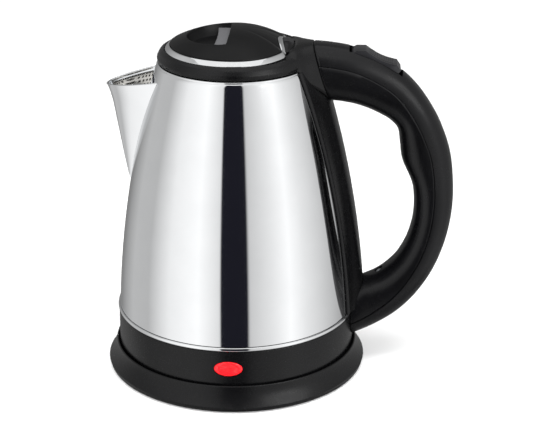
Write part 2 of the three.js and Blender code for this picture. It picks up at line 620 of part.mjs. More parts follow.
function collarSolid() {
  const ring = turned([
    [NECK_INNER, NECK_BOTTOM], [NECK_OUTER, NECK_BOTTOM], [NECK_OUTER, COLLAR_BOTTOM],
    [COLLAR_RADIUS - 0.4, COLLAR_BOTTOM], [COLLAR_RADIUS + 0.2, 200.2], [COLLAR_RADIUS + 0.3, 202],
    [46.6, 204.2], [45.2, 205.9], [43.2, 207], [LID_RADIUS, 207], [LID_RADIUS, LID_SEAT - GAP],
    [NECK_INNER, LID_SEAT - GAP],
  ], WIDE);
  const bracket = cut(bracketBlock(0), steelCore(GAP), disc(COLLAR_RADIUS - 2, 150, COLLAR_BOTTOM, WIDE),
    disc(NECK_INNER, 150, 230, WIDE));
  const knuckleRoom = join(block(24, HINGE.x, -HINGE_ARM_HALF - GAP, HINGE_ARM_HALF + GAP, 198, 230),
    crossBar(HINGE.x, HINGE.z, 5.7, -HINGE_ARM_HALF - GAP, HINGE_ARM_HALF + GAP, 32));
  const pinHole = crossBar(HINGE.x, HINGE.z, 1.8, -10, 10, 16);
  const latchNotch = block(-39.8, -36, -6.4, 6.4, 199.6, 203.6);
  const swingRoom = sidePlate([[HINGE.x, HINGE.z], [HINGE.x + 30, HINGE.z + 16], [HINGE.x, 230]], -24, 24);
  const cornerRoom = crossBar(HINGE.x, HINGE.z, 2.1, -19.5, 19.5, 16);
  const seatAndCrest = cut(join(ring, bracket, crestBlock()), lidSpace(), swingRoom, cornerRoom);
  const body = join(seatAndCrest, hingeBarrel(0, BARREL_HALF));
  return cut(body, knuckleRoom, pinHole, latchNotch, leadPassage());
}

// The arched hump behind the lid, which carries the hinge barrel.
function crestBlock() {
  return loft([HINGE.x, 38.6].map((x) => {
    const arch = steps(12).map((u) => {
      const y = mix(-CREST_HALF_WIDTH, CREST_HALF_WIDTH, u);
      return [x, y, LID_EDGE_HEIGHT - 0.2 + crestLift(REAR_CHORD, y)];
    });
    return [...arch, [x, CREST_HALF_WIDTH, 203.4], [x, -CREST_HALF_WIDTH, 203.4]];
  }), [1, 2]);
}

// The room that the lid's ring takes in the collar.
function lidSpace() {
  const outline = LID_ANGLES.map((angle) => {
    const radius = lidRadius(angle, -GAP);
    return [radius * Math.cos(angle), radius * Math.sin(angle)];
  });
  return planPlate(outline, LID_SEAT - GAP, 225);
}

// The channel for the switch lead, from the spine up into the handle.
function leadPassage() {
  const outline = [[52, 172], [57.3, 172], [57.3, 179.2], [62, 179.2], [62, 201], [44, 201], [44, 193]];
  return sidePlate(outline, -6, 6);
}

function buildCollar() {
  place('collar', collarSolid(), BLACK);
  place('collar_gasket', tube(41.6, 44.6, 195.6, 197.4, FINE), SILICONE);
  place('lid_hinge_pin', crossBar(HINGE.x, HINGE.z, 1.5, -9.6, 9.6, 16), ZINC);
}

function buildLid() {
  const notch = hingeBarrel(GAP, BARREL_HALF + GAP);
  const crestRoom = block(28.4, 60, -CREST_HALF_WIDTH - 1, CREST_HALF_WIDTH + 1, 202.4, 230);
  const inset = LID_RING_WIDTH + GAP;
  const recess = recessPocket(0);
  const cup = recessPocket(1.8).intersect(domeSolid(inset, 0.01, 196));
  const shell = cut(domeSolid(inset, 0, LID_SEAT), domeSolid(inset + LID_SKIN, LID_SKIN, 200));
  const armRoom = block(20, 34, -HINGE_ARM_HALF - GAP, HINGE_ARM_HALF + GAP, 200, 208.2);
  const outer = cut(join(shell, cup), recess, latchWay(), notch, armRoom);
  place('lid_outer', outer, BLACK);

  const ringArmRoom = armRoom.translate([0, 0, 2]);
  place('lid_trim_ring', cut(lidRing(), notch, ringArmRoom), CHROME);

  const tray = turned([
    [0, 203], [34, 203], [34, 194.4], [36.2, 194.4], [36.8, 195], [36.8, 196.8], [36, 196.8],
    [36, 200.2], [37, 200.2], [37, 203], [38, 203.4], [38, 205.6], [0, 205.6],
  ]);
  const arm = sidePlate([[22, 204.6], [28, 203.6], [HINGE.x, 203.6], [HINGE.x, 207.8], [22, 207.4]],
    -HINGE_ARM_HALF, HINGE_ARM_HALF);
  const knuckle = hingeBarrel(0, BARREL_HALF).intersect(
    block(24, 40, -HINGE_ARM_HALF, HINGE_ARM_HALF, 200, 216));
  const pinHole = crossBar(HINGE.x, HINGE.z, 1.75, -10, 10, 16);
  const latchSlot = block(-45, 6, -5.6, 5.6, 199.7, 203.3);
  const springWell = block(LATCH_BACK + 2.2, LATCH_BACK + 20.2, -3.4, 3.4, 198.6, 204);
  const postWay = block(LATCH_BACK - 9.3, LATCH_BACK + 4.2, -5.6, 5.6, 198, 212);
  const screwHoles = [-1, 1].map((side) => uprightBar(4, side * 27, 1.9, 190, 212, 12));
  const trayAndArm = join(cut(tray, notch, crestRoom), arm, knuckle);
  const inner = cut(trayAndArm, pinHole, latchSlot, postWay, springWell, ...screwHoles);
  place('lid_inner', inner, DARK);
  place('lid_gasket', tube(36.3, 37.2, 197.1, 199.9, FINE), SILICONE);
  [-1, 1].forEach((side, i) => {
    place(`lid_screw_${i + 1}`, uprightBar(4, side * 27, 1.5, 200, 208, 12), ZINC);
  });
}

// The bright ring round the lid: a slanted band that climbs over the crest at the back.
function lidRing() {
  const rings = LID_ANGLES.map((angle) => {
    const outerEdge = lidRadius(angle, 0);
    const innerEdge = lidRadius(angle, LID_RING_WIDTH);
    const lift = crestLift(outerEdge * Math.cos(angle), outerEdge * Math.sin(angle));
    const rise = LID_RING_RISE * (1 - lift / CREST_RISE);
    const high = LID_EDGE_HEIGHT + lift;
    return [
      [innerEdge, LID_SEAT], [outerEdge - 0.4, LID_SEAT], [outerEdge, high - 0.3],
      [outerEdge - 0.3, high + 0.1], [innerEdge, high + rise],
    ].map(([radius, z]) => [radius * Math.cos(angle), radius * Math.sin(angle), z]);
  });
  const count = rings.length;
  const corners = rings[0].length;
  const index = [];
  for (let ring = 0; ring < count; ring += 1) {
    for (let i = 0; i < corners; i += 1) {
      const next = ((ring + 1) % count) * corners;
      const j = (i + 1) % corners;
      index.push(ring * corners + i, ring * corners + j, next + j, ring * corners + i, next + j, next + i);
    }
  }
  const geometry = new THREE.BufferGeometry();
  geometry.setAttribute('position', new THREE.Float32BufferAttribute(rings.flat().flat(), 3));
  geometry.setIndex(index);
  return toSolid(geometry);
}

// A band across the lid between two fore-and-aft offsets from the latch's curved rear face.
function curvedBand(from, to, half, low, high) {
  const edge = (offset, y0, y1) => steps(12).map((u) => {
    const y = mix(y0, y1, u);
    return [LATCH_BACK + offset - GRIP_CURVE * y * y, y];
  });
  return planPlate([...edge(from, -half, half), ...edge(to, half, -half)], low, high);
}

// The round pocket in the lid, grown by the thickness of its cup. Its rear edge is curved like
// the latch's grip, and under that edge is the room that the grip slides into.
function recessPocket(skin) {
  const floor = RECESS_FLOOR - skin;
  const bowl = disc(RECESS_RADIUS + skin, floor, 225, 40).translate([RECESS_CENTRE, 0, 0]);
  const behind = curvedBand(0.2 + skin, 60, 30, 190, 230);
  return join(cut(bowl, behind), curvedBand(-1, LATCH_TRAVEL + 0.8 + skin, 21 + skin, floor, 214.2 + skin));
}

// The slot in the recess floor for the latch's post.
const latchWay = () =>
  block(LATCH_BACK - 8, LATCH_BACK + LATCH_TRAVEL + 0.3, -5.3, 5.3, 198, RECESS_FLOOR + 0.1);

function buildLatch() {
  const grip = join(curvedBand(-8, -7.2, 20.4, 208.9, 212.8), curvedBand(-7.3, 0, 20.4, 208.9, 213.6));
  const post = block(LATCH_BACK - 7.4, LATCH_BACK - 0.6, -5, 5, 200.2, 209.2);
  const bolt = block(BOLT_TIP, LATCH_BACK, -5, 5, 200.2, 202.8);
  place('lid_latch', join(grip, post, bolt), GREY);
  const turns = 4; // drawn compressed, as it is when the latch is pulled right back
  const coil = new THREE.CatmullRomCurve3(steps(turns * 8).map((u) => {
    const angle = u * turns * Math.PI * 2;
    const x = LATCH_BACK + mix(3.6, 16.6, u);
    return new THREE.Vector3(x, 2 * Math.cos(angle), 201.2 + 2 * Math.sin(angle));
  }));
  const wire = new THREE.Shape(circle(0, 0, 0.35, 5).map(([x, y]) => new THREE.Vector2(x, y)));
  place('latch_spring', toSolid(new THREE.ExtrudeGeometry(wire,
    { steps: turns * 8, bevelEnabled: false, extrudePath: coil })), ZINC);
}

function buildHandle() {
  const envelope = bodyEnvelope(GAP);
  const spineRoom = spineBlock(GAP, 0);
  const slot = sidePlate([[69.9, 214], [70.2, 196], [99, 184], [103.4, 194.6], [104, 212]],
    -SWITCH_HALF_WIDTH - 0.4, SWITCH_HALF_WIDTH + 0.4);
  const pin = crossBar(SWITCH_PIVOT.x, SWITCH_PIVOT.z, 1.8, -11.2, 11.2, 12);
  const topScrew = handleScrew('top', GAP);
  const footScrew = handleScrew('foot', GAP);
  place('handle_outer_shell', cut(handleHalf('back'), envelope, spineRoom, slot, pin), BLACK);
  place('handle_inner_cover', cut(handleHalf('grip'), envelope, spineRoom, topScrew, footScrew), BLACK);
  const spine = cut(spineBlock(0, 0), spineBlock(0, 2.2), bracketBlock(GAP), leadPassage());
  place('handle_spine', spine, BLACK);
  place('handle_screw_top', handleScrew('top', 0), ZINC);
  place('handle_screw_foot', handleScrew('foot', 0), ZINC);
}

// A screw through the grip side of the handle, head outwards, grown by a clearance.
function handleScrew(end, clearance) {
  const head = disc(2.6 + clearance, -clearance * 8, 1.7 + clearance, COARSE);
  const shank = disc(1.4 + clearance, 1, 9 + clearance, COARSE);
  const upright = join(head, shank);
  if (end === 'top') return upright.translate([66, 0, 175.2]);
  return upright.rotate([0, 156, 0]).translate([91.3, 0, 61.3]);
}

function buildSwitch() {
  const pad = steps(6).map((u) => {
    const x = mix(80, 99, u);
    return [x, mix(207.6, 198.9, u) - 1.5 * Math.sin(u * Math.PI)];
  });
  const profile = [
    [71.4, 205.8], [74.4, 207.6], ...pad, [101.4, 195.4], [98.4, 192], [90, 193.6], [88, 192.8], [88, 188],
    [85.6, 188], [84.6, 195], [73, 201.6],
  ];
  const rocker = cut(sidePlate(profile, -SWITCH_HALF_WIDTH, SWITCH_HALF_WIDTH),
    crossBar(SWITCH_PIVOT.x, SWITCH_PIVOT.z, 1.3, -20, 20, 12));
  place('switch_rocker', rocker, GREY);
  place('switch_pivot_pin', crossBar(SWITCH_PIVOT.x, SWITCH_PIVOT.z, 1, -10.8, 10.8, 12), ZINC);
  const leverHole = crossBar(LEVER_PIVOT.x, LEVER_PIVOT.z, 1.3, -20, 20, 12);
  const tray = block(70, 91, -8, 8, 179.4, 181.6);
  const backWall = block(70, 72, -8, 8, 179.4, 188);
  const [ear1, ear2] = [block(86.4, 91, 4.2, 8, 179.4, 187), block(86.4, 91, -8, -4.2, 179.4, 187)];
  place('steam_switch_frame', cut(join(tray, backWall, ear1, ear2), leverHole), PHENOLIC);
  place('lever_pin', crossBar(LEVER_PIVOT.x, LEVER_PIVOT.z, 1, -7.6, 7.6, 12), ZINC);
  const lever = cut(sidePlate([
    [78, 185.4], [86.6, 184.4], [87.6, 183], [90.2, 183], [91, 184.8], [90.5, 190], [88.7, 190],
    [88.4, 186.8], [78, 186.8],
  ], -3.8, 3.8), leverHole);
  place('trip_lever', lever, PHENOLIC);
  const bimetal = turned([[0, 0], [5.4, 0], [5.4, 0.5], [0, 1.1]], COARSE);
  place('steam_bimetal', bimetal.translate([78.8, 0, 182]), BRASS);
  place('switch_lead', switchLead(), LEAD);
}

// The lead from the control under the kettle's floor, up the spine, to the steam switch.
function switchLead() {
  const inSpine = (z) => new THREE.Vector3(steelRadius(z) + 2.6, 0, z);
  const along = (...points) => points.map(([x, z]) => new THREE.Vector3(x, 0, z));
  const route = along([50, 30.4], [62, 30.4], [70, 31.6], [74.6, 36]);
  for (let z = 46; z <= 160; z += 22) route.push(inSpine(z));
  route.push(...along([55.5, 178], [57.8, 184.4], [66, 187], [69.4, 187]));
  const section = new THREE.Shape(circle(0, 0, 1.4, 6).map(([x, y]) => new THREE.Vector2(x, y)));
  const path = new THREE.CatmullRomCurve3(route);
  return toSolid(new THREE.ExtrudeGeometry(section, { steps: 30, bevelEnabled: false, extrudePath: path }));
}

buildPowerBase();
buildSocket();
buildKettleFoot();
buildBody();
buildConnector();
buildCollar();
buildLid();
buildLatch();
buildHandle();
buildSwitch();

export default group;
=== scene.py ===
import json
import math

import bmesh
import bpy
from mathutils import Matrix, Vector


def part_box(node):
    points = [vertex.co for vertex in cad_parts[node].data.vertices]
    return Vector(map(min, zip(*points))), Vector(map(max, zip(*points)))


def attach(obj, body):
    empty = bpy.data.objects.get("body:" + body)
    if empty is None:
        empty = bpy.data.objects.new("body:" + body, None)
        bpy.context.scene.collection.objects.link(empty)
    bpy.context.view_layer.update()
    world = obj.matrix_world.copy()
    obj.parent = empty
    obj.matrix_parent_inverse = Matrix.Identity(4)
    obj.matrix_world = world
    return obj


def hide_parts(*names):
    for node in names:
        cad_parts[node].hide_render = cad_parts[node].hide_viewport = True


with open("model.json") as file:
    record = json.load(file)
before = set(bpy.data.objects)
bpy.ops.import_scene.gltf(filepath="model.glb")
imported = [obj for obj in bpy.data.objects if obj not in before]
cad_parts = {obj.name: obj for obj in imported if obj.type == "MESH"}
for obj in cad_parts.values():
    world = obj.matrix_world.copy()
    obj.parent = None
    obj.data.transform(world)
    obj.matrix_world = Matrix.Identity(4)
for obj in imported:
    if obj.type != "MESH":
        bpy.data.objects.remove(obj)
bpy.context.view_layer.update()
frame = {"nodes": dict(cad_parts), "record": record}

MM = 0.001
TURN = 2 * math.pi
GAP = 0.3

BODY_OF = {
    node: body
    for body, members in frame["record"]["behaviour"]["bodies"].items()
    for node in members
}
SLOT_OF = {row["node"]: row["material_slot"] for row in frame["record"]["subparts"]}


def low(node):
    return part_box(node)[0] / MM


def high(node):
    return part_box(node)[1] / MM


def middle(node):
    return (low(node) + high(node)) / 2


# ---------- driving dimensions, from the frame ----------
BASE_RADIUS = high("power_base_shell").x
RIM_TOP = high("power_base_shell").z
DISH_FLOOR = RIM_TOP - 7.2
DISH_RADIUS = 76.2
RIM_RADIUS = 77.3
BAND_RADIUS = high("base_skirt").x
BAND_BOTTOM = low("base_skirt").z
BAND_TOP = high("base_skirt").z
BAND_INNER = BAND_RADIUS - 2.2
TRIM_RADIUS = high("bottom_trim_ring").x
TRIM_TOP = high("bottom_trim_ring").z
STEEL_FOOT_RADIUS = high("body_shell").x
STEEL_BOTTOM = low("body_shell").z
STEEL_TOP = high("body_shell").z
STEEL_WALL = 1
STEEL_TAPER = 0.0393
STEEL_BULGE = 0.000829
NECK_BOTTOM = low("collar").z
NECK_INNER = 38.4
NECK_OUTER = 40.6
COLLAR_RADIUS = 47.2
COLLAR_BOTTOM = STEEL_TOP + 0.4
LID_SEAT = low("lid_trim_ring").z
LID_RADIUS = -low("lid_trim_ring").x
LID_EDGE = LID_SEAT + 0.6
LID_APEX = high("lid_outer").z
RING_WIDTH = 3.1
RING_RISE = 3.1
REAR_CHORD = 29.6
CHORD_HOLLOW = 2.6
LID_NARROWING = 12.5
LID_CORNER = 1.4
CREST_RISE = 6.3
CREST_HALF = 16
CREST_BACK = 38.6
CREST_FOOT = 203.4
HINGE_X = middle("lid_hinge_pin").x
HINGE_Z = middle("lid_hinge_pin").z
HINGE_PIN_HALF = 9.6
BARREL_HALF = 14
ARM_HALF = 4
RECESS_RADIUS = 24.5
RECESS_CENTRE = -4.8
GRIP_CURVE = 0.002
RECESS_FLOOR = 208.6
LATCH_TRAVEL = 3
LATCH_BACK = high("lid_latch").x
GRIP_DEPTH = 8
GRIP_HALF = 20.4
ABOVE_LID = 225
HANDLE_WALL = 2.4
SPINE_SKIN = 1.2
RIDGE_HALF = 14.5
PARTING_DEPTH = 12
TONGUE_REACH = 0.9
SECTION_POWER = 2.4
SWITCH_HALF = high("switch_rocker").y
SWITCH_PIVOT_X = middle("switch_pivot_pin").x
SWITCH_PIVOT_Z = middle("switch_pivot_pin").z
SPOUT_APEX = 120.6
SPOUT_RIM = 188.5
SPOUT_HALF = 20.6
SPOUT_TIP_Z = 182.2
PILLAR_TOP = high("socket_pillar").z
CONNECTOR_RADIUS = high("kettle_connector").x
LENS_HEIGHT = 25.9
LENS_HALF_WIDTH = 8.7
LENS_HALF_HEIGHT = 4.7


# ---------- meshes ----------
def new_object(name, points, faces):
    """A closed mesh from millimetre points, with its faces turned outwards."""
    mesh = bpy.data.meshes.new(name)
    mesh.from_pydata([[c * MM for c in point] for point in points], [], faces)
    build = bmesh.new()
    build.from_mesh(mesh)
    bmesh.ops.remove_doubles(build, verts=build.verts, dist=1e-7)
    bmesh.ops.recalc_face_normals(build, faces=build.faces)
    build.to_mesh(mesh)
    build.free()
    obj = bpy.data.objects.new(name, mesh)
    bpy.context.scene.collection.objects.link(obj)
    return obj


def fillet(corners):
    """A closed outline from (x, z, radius) corners, each rounded by its radius."""
    segments = 5
    outline = []
    for i, (x, z, radius) in enumerate(corners):
        here = Vector((x, z))
        before = Vector(corners[i - 1][:2]) - here
        after = Vector(corners[(i + 1) % len(corners)][:2]) - here
        if radius == 0:
            outline.append((x, z))
            continue
        half_angle = max(before.angle(after), 0.2) / 2
        reach = min(radius / math.tan(half_angle), before.length * 0.45, after.length * 0.45)
        start = here + before.normalized() * reach
        end = here + after.normalized() * reach
        for k in range(segments + 1):
            s = k / segments
            outline.append(tuple(start * (1 - s) ** 2 + here * 2 * s * (1 - s) + end * s * s))
    return outline


def turned(name, outline, sides=192):
    """A body of revolution about Z from a closed outline of (radius, height) points."""
    points = []
    rings = []
    for radius, z in outline:
        first = len(points)
        count = 1 if radius < 1e-6 else sides
        rings.append([first + i for i in range(count)])
        for i in range(count):
            angle = TURN * i / sides
            points.append((radius * math.cos(angle), radius * math.sin(angle), z))
    faces = []
    for ring, after in zip(rings, rings[1:] + rings[:1]):
        for i in range(sides):
            j = (i + 1) % sides
            if len(ring) == 1 and len(after) == 1:
                break
            if len(ring) == 1:
                faces.append((ring[0], after[j], after[i]))
            elif len(after) == 1:
                faces.append((ring[i], ring[j], after[0]))
            else:
                faces.append((ring[i], ring[j], after[j], after[i]))
    return new_object(name, points, faces)


def loft(name, rings, closed=False):
    """A skin through rings of points. It is capped at both ends, or closed on itself."""
    count = len(rings[0])
    points = [point for ring in rings for point in ring]
    faces = []
    spans = len(rings) if closed else len(rings) - 1
    for r in range(spans):
        for i in range(count):
            j = (i + 1) % count
            a, b = r * count, ((r + 1) % len(rings)) * count
            faces.append((a + i, a + j, b + j, b + i))
    if not closed:
        faces.append(tuple(range(count))[::-1])
        faces.append(tuple(range((len(rings) - 1) * count, len(rings) * count)))
    return new_object(name, points, faces)


def side_plate(name, outline, y0, y1):
    return loft(name, [[(x, y, z) for x, z in outline] for y in (y0, y1)])


def plan_plate(name, outline, z0, z1):
    return loft(name, [[(x, y, z) for x, y in outline] for z in (z0, z1)])


def block(x0, x1, y0, y1, z0, z1):
    return side_plate("block", [(x0, z0), (x1, z0), (x1, z1), (x0, z1)], y0, y1)


def circle(x, z, radius, sides=48):
    return [
        (x + radius * math.cos(TURN * i / sides), z + radius * math.sin(TURN * i / sides))
        for i in range(sides)
    ]


def cross_bar(x, z, radius, half):
    return side_plate("bar", circle(x, z, radius), -half, half)


def settle(obj):
    """Applies the modifiers."""
    depsgraph = bpy.context.evaluated_depsgraph_get()
    mesh = bpy.data.meshes.new_from_object(obj.evaluated_get(depsgraph))
    obj.modifiers.clear()
    obj.data = mesh
    return obj


def combine(obj, operation, tools):
    for tool in tools:
        modifier = obj.modifiers.new("combine", "BOOLEAN")
        modifier.operation = operation
        modifier.solver = "MANIFOLD"
        modifier.object = tool
        settle(obj)
        bpy.data.objects.remove(tool)
    return obj


def cut(obj, *tools):
    return combine(obj, "DIFFERENCE", tools)


def join(obj, *tools):
    return combine(obj, "UNION", tools)


def soften(obj, voxel, passes):
    """Blends the corners of a moulding: a fine even remesh, then a light smoothing."""
    remesh = obj.modifiers.new("remesh", "REMESH")
    remesh.mode = "VOXEL"
    remesh.voxel_size = voxel * MM
    smooth = obj.modifiers.new("smooth", "SMOOTH")
    smooth.factor = 0.5
    smooth.iterations = passes
    return settle(obj)


def ease(obj, width, segments=3):
    """Rounds the sharp edges."""
    bevel = obj.modifiers.new("ease", "BEVEL")
    bevel.width = width * MM
    bevel.segments = segments
    bevel.limit_method = "ANGLE"
    bevel.angle_limit = math.radians(32)
    return settle(obj)


def move(obj, matrix):
    obj.data.transform(matrix)
    return obj


def shift(x, y, z):
    return Matrix.Translation((x * MM, y * MM, z * MM))


def steps(count):
    return [i / count for i in range(count + 1)]


def mix(a, b, u):
    return a + (b - a) * u


def stand_for(obj, node, sharp=40):
    """The piece stands in for a CAD node, which it hides, and takes the node's body and the material of its
    slot.
    """
    obj.name = node + "_finished"
    obj.data.shade_smooth()
    obj.data.set_sharp_from_angle(angle=math.radians(sharp))
    obj.data.materials.clear()
    obj.data.materials.append(MATERIALS[SLOT_OF[node]])
    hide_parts(node)
    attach(obj, BODY_OF[node])
    return obj


# ---------- materials ----------
class Look:
    """A procedural material: a Principled shader with textures in the frame's own space."""

    def __init__(self, name, metallic=0.0, specular=0.5):
        self.material = bpy.data.materials.new(name)
        self.material.use_nodes = True
        self.nodes = self.material.node_tree.nodes
        self.links = self.material.node_tree.links
        self.shader = self.nodes["Principled BSDF"]
        self.shader.inputs["Metallic"].default_value = metallic
        self.shader.inputs["Specular IOR Level"].default_value = specular
        self.place = self.nodes.new("ShaderNodeTexCoord").outputs["Object"]

    def noise(self, scale, detail=3):
        texture = self.nodes.new("ShaderNodeTexNoise")
        texture.inputs["Scale"].default_value = scale
        texture.inputs["Detail"].default_value = detail
        self.links.new(self.place, texture.inputs["Vector"])
        return texture.outputs["Fac"]

    def tint(self, source, dark, light):
        ramp = self.nodes.new("ShaderNodeValToRGB")
        ramp.color_ramp.elements[0].position = 0.35
        ramp.color_ramp.elements[0].color = (*dark, 1)
        ramp.color_ramp.elements[1].position = 0.65
        ramp.color_ramp.elements[1].color = (*light, 1)
        self.links.new(source, ramp.inputs["Fac"])
        self.links.new(ramp.outputs["Color"], self.shader.inputs["Base Color"])

    def roughen(self, source, least, most):
        scale = self.nodes.new("ShaderNodeMapRange")
        scale.inputs["From Min"].default_value = 0.3
        scale.inputs["From Max"].default_value = 0.7
        scale.inputs["To Min"].default_value = least
        scale.inputs["To Max"].default_value = most
        self.links.new(source, scale.inputs["Value"])
        self.links.new(scale.outputs["Result"], self.shader.inputs["Roughness"])

    def bump(self, source, strength, depth):
        bump = self.nodes.new("ShaderNodeBump")
        bump.inputs["Strength"].default_value = strength
        bump.inputs["Distance"].default_value = depth * MM
        self.links.new(source, bump.inputs["Height"])
        self.links.new(bump.outputs["Normal"], self.shader.inputs["Normal"])


def moulding(name, dark, light, roughness, specular, grain):
    """Moulded plastic or rubber with a spark-eroded grain, slightly uneven in gloss."""
    look = Look(name, specular=specular)
    look.tint(look.noise(45), dark, light)
    look.roughen(look.noise(160), roughness - 0.02, roughness + 0.02)
    look.bump(look.noise(2600, detail=2), grain, 0.05)
    return look.material


def metal(name, dark, light, roughness, spread, grain):
    look = Look(name, metallic=1.0)
    look.tint(look.noise(60), dark, light)
    look.roughen(look.noise(220), roughness, roughness + spread)
    if grain:
        look.bump(look.noise(1500), grain, 0.02)
    return look.material


def lens_look():
    look = Look("red_lens", specular=0.4)
    look.tint(look.noise(120), (0.84, 0.006, 0.012), (1.0, 0.014, 0.02))
    look.roughen(look.noise(300), 0.16, 0.22)
    look.shader.inputs["Subsurface Weight"].default_value = 0.25
    look.shader.inputs["Subsurface Radius"].default_value = (0.004, 0.0008, 0.0008)
    look.shader.inputs["Coat Weight"].default_value = 0.15
    look.shader.inputs["Coat Roughness"].default_value = 0.1
    return look.material


def lamp_look():
    look = Look("lamp_glass")
    look.tint(look.noise(90), (0.9, 0.7, 0.6), (0.98, 0.84, 0.76))
    look.roughen(look.noise(200), 0.05, 0.12)
    look.shader.inputs["Transmission Weight"].default_value = 0.8
    return look.material


# Each moulding: its darkest and lightest tint, its roughness, then its gloss and its grain.
MOULDINGS = {
    "black_plastic": ((0.0018, 0.0018, 0.0021), (0.0024, 0.0024, 0.0028), 0.27, 0.28, 0.05),
    "handle_plastic": ((0.0018, 0.0018, 0.0022), (0.0024, 0.0024, 0.003), 0.26, 0.28, 0.05),
    "lid_plastic": ((0.0024, 0.0024, 0.0026), (0.0034, 0.0034, 0.0036), 0.36, 0.14, 0.15),
    "switch_plastic": ((0.008, 0.008, 0.0095), (0.012, 0.012, 0.014), 0.3, 0.6, 0.1),
    "grey_plastic": ((0.085, 0.085, 0.090), (0.105, 0.105, 0.110), 0.42, 0.3, 0.3),
    "dark_plastic": ((0.012, 0.012, 0.013), (0.017, 0.017, 0.018), 0.5, 0.3, 0.3),
    "phenolic": ((0.022, 0.016, 0.011), (0.034, 0.025, 0.017), 0.6, 0.3, 0.6),
    "rubber": ((0.010, 0.010, 0.010), (0.016, 0.016, 0.016), 0.75, 0.3, 0.7),
    "silicone": ((0.62, 0.62, 0.59), (0.72, 0.72, 0.69), 0.5, 0.4, 0.3),
    "lead_sleeve": ((0.009, 0.006, 0.005), (0.016, 0.010, 0.009), 0.7, 0.3, 0.9),
}
# Each metal: its darkest and lightest tint, its roughness, how far that varies, and its grain.
METALS = {
    "polished_steel": ((0.89, 0.90, 0.91), (0.91, 0.92, 0.93), 0.05, 0.012, 0),
    "filter_steel": ((0.56, 0.54, 0.50), (0.66, 0.64, 0.60), 0.22, 0.1, 0.2),
    "chrome": ((0.88, 0.89, 0.90), (0.93, 0.94, 0.95), 0.03, 0.02, 0),
    "zinc_steel": ((0.52, 0.53, 0.55), (0.66, 0.67, 0.69), 0.28, 0.12, 0.3),
    "brass": ((0.66, 0.48, 0.19), (0.78, 0.60, 0.28), 0.24, 0.12, 0.2),
    "aluminium": ((0.58, 0.59, 0.61), (0.70, 0.71, 0.73), 0.38, 0.14, 0.5),
}
MATERIALS = {
    **{name: moulding(name, *look) for name, look in MOULDINGS.items()},
    **{name: metal(name, *look) for name, look in METALS.items()},
    "red_lens": lens_look(),
    "lamp_glass": lamp_look(),
}


# ---------- shared shapes ----------
def steel_radius(z):
    rise = z - STEEL_BOTTOM
    return STEEL_FOOT_RADIUS - STEEL_TAPER * rise - STEEL_BULGE * rise * rise


def steel_side(clearance):
    heights = [mix(STEEL_BOTTOM, STEEL_TOP, u) for u in steps(60)]
    return [(steel_radius(z) + clearance, z) for z in heights]


def steel_core(clearance):
    return turned("core", [(0, STEEL_BOTTOM), *steel_side(clearance), (0, STEEL_TOP)], 256)


def body_envelope(clearance):
    foot = BAND_BOTTOM - 2
    return turned("envelope", [
        (0, foot), (BAND_RADIUS + clearance, foot), (BAND_RADIUS + clearance, BAND_TOP - clearance),
        (TRIM_RADIUS + clearance, BAND_TOP - clearance), (TRIM_RADIUS + clearance, TRIM_TOP + clearance),
        *steel_side(clearance), (0, STEEL_TOP),
    ], 256)


# Handle stations: the back, the facing point on the grip side, and the half width.
HANDLE_STATIONS = [
    ((48.3, 211.4), (59.3, 175.4), 16),
    ((60.5, 210.4), (66.5, 174.6), 15.4),
    ((74, 207.8), (74.5, 173), 14.8),
    ((88, 202.3), (82.5, 170.3), 14.3),
    ((101.7, 194.4), (89.5, 167), 14),
    ((112, 184.7), (95.7, 163.3), 14),
    ((121, 172.2), (100.6, 157.5), 14),
    ((128.1, 158.5), (102.2, 148), 14),
    ((134, 140.6), (104, 137), 13.8),
    ((136.4, 118.7), (110.8, 120.5), 13.6),
    ((135.8, 100.9), (111.9, 102), 13.6),
    ((132.4, 82.8), (108.6, 86), 13.8),
    ((125.7, 64.4), (102.8, 74), 14.2),
    ((115.7, 48), (97.2, 67.2), 14.6),
    ((103.3, 34.8), (91, 62), 15),
    ((88.7, 25.1), (85.5, 58.8), 15.5),
    ((75.6, 18.9), (80.6, 56.6), 16),
    ((66, 15.5), (74, 54), 16),
]
STATION_STEPS = 8


def curve_through(values, u):
    """A Catmull-Rom curve through values, at u counted in values."""
    i = min(int(u), len(values) - 2)
    s = u - i
    a, b, c, d = (values[min(max(i + k, 0), len(values) - 1)] for k in (-1, 0, 1, 2))
    square, cube = 2 * a - 5 * b + 4 * c - d, 3 * b - a - 3 * c + d
    return 0.5 * (2 * b + (c - a) * s + square * s * s + cube * s ** 3)


def handle_station(u):
    columns = [[back[0], back[1], grip[0], grip[1], half] for back, grip, half in HANDLE_STATIONS]
    back_x, back_z, grip_x, grip_z, half = (curve_through(column, u) for column in zip(*columns))
    return Vector((back_x, back_z)), Vector((grip_x, grip_z)), half


def signed_power(value, power):
    return math.copysign(abs(value) ** power, value)


def section_point(station, angle, inset):
    """A point of a rounded section: angle 0 is the handle's back, half a turn its grip side."""
    back, grip, half = station
    depth = (back - grip).length / 2
    along = signed_power(math.cos(angle), 2 / SECTION_POWER) * (depth - inset)
    across = signed_power(math.sin(angle), 2 / SECTION_POWER) * (half - inset)
    centre = (back + grip) / 2 + (back - grip).normalized() * along
    return (centre.x, across, centre.y)


def angle_at_depth(station, below, inset):
    back, grip, _ = station
    depth = (back - grip).length / 2
    along = (depth - below) / (depth - inset)
    return math.acos(signed_power(along, SECTION_POWER / 2))


def half_section(station, towards_back, inset, shy):
    """One half of a section, inset, whose ends stop shy of the seam."""
    edge_depth = PARTING_DEPTH + (-GAP / 2 - shy if towards_back else GAP / 2 + shy)
    edge = angle_at_depth(station, edge_depth, inset)
    first, last = (-edge, edge) if towards_back else (edge, TURN - edge)
    return [section_point(station, mix(first, last, u), inset) for u in steps(36)]


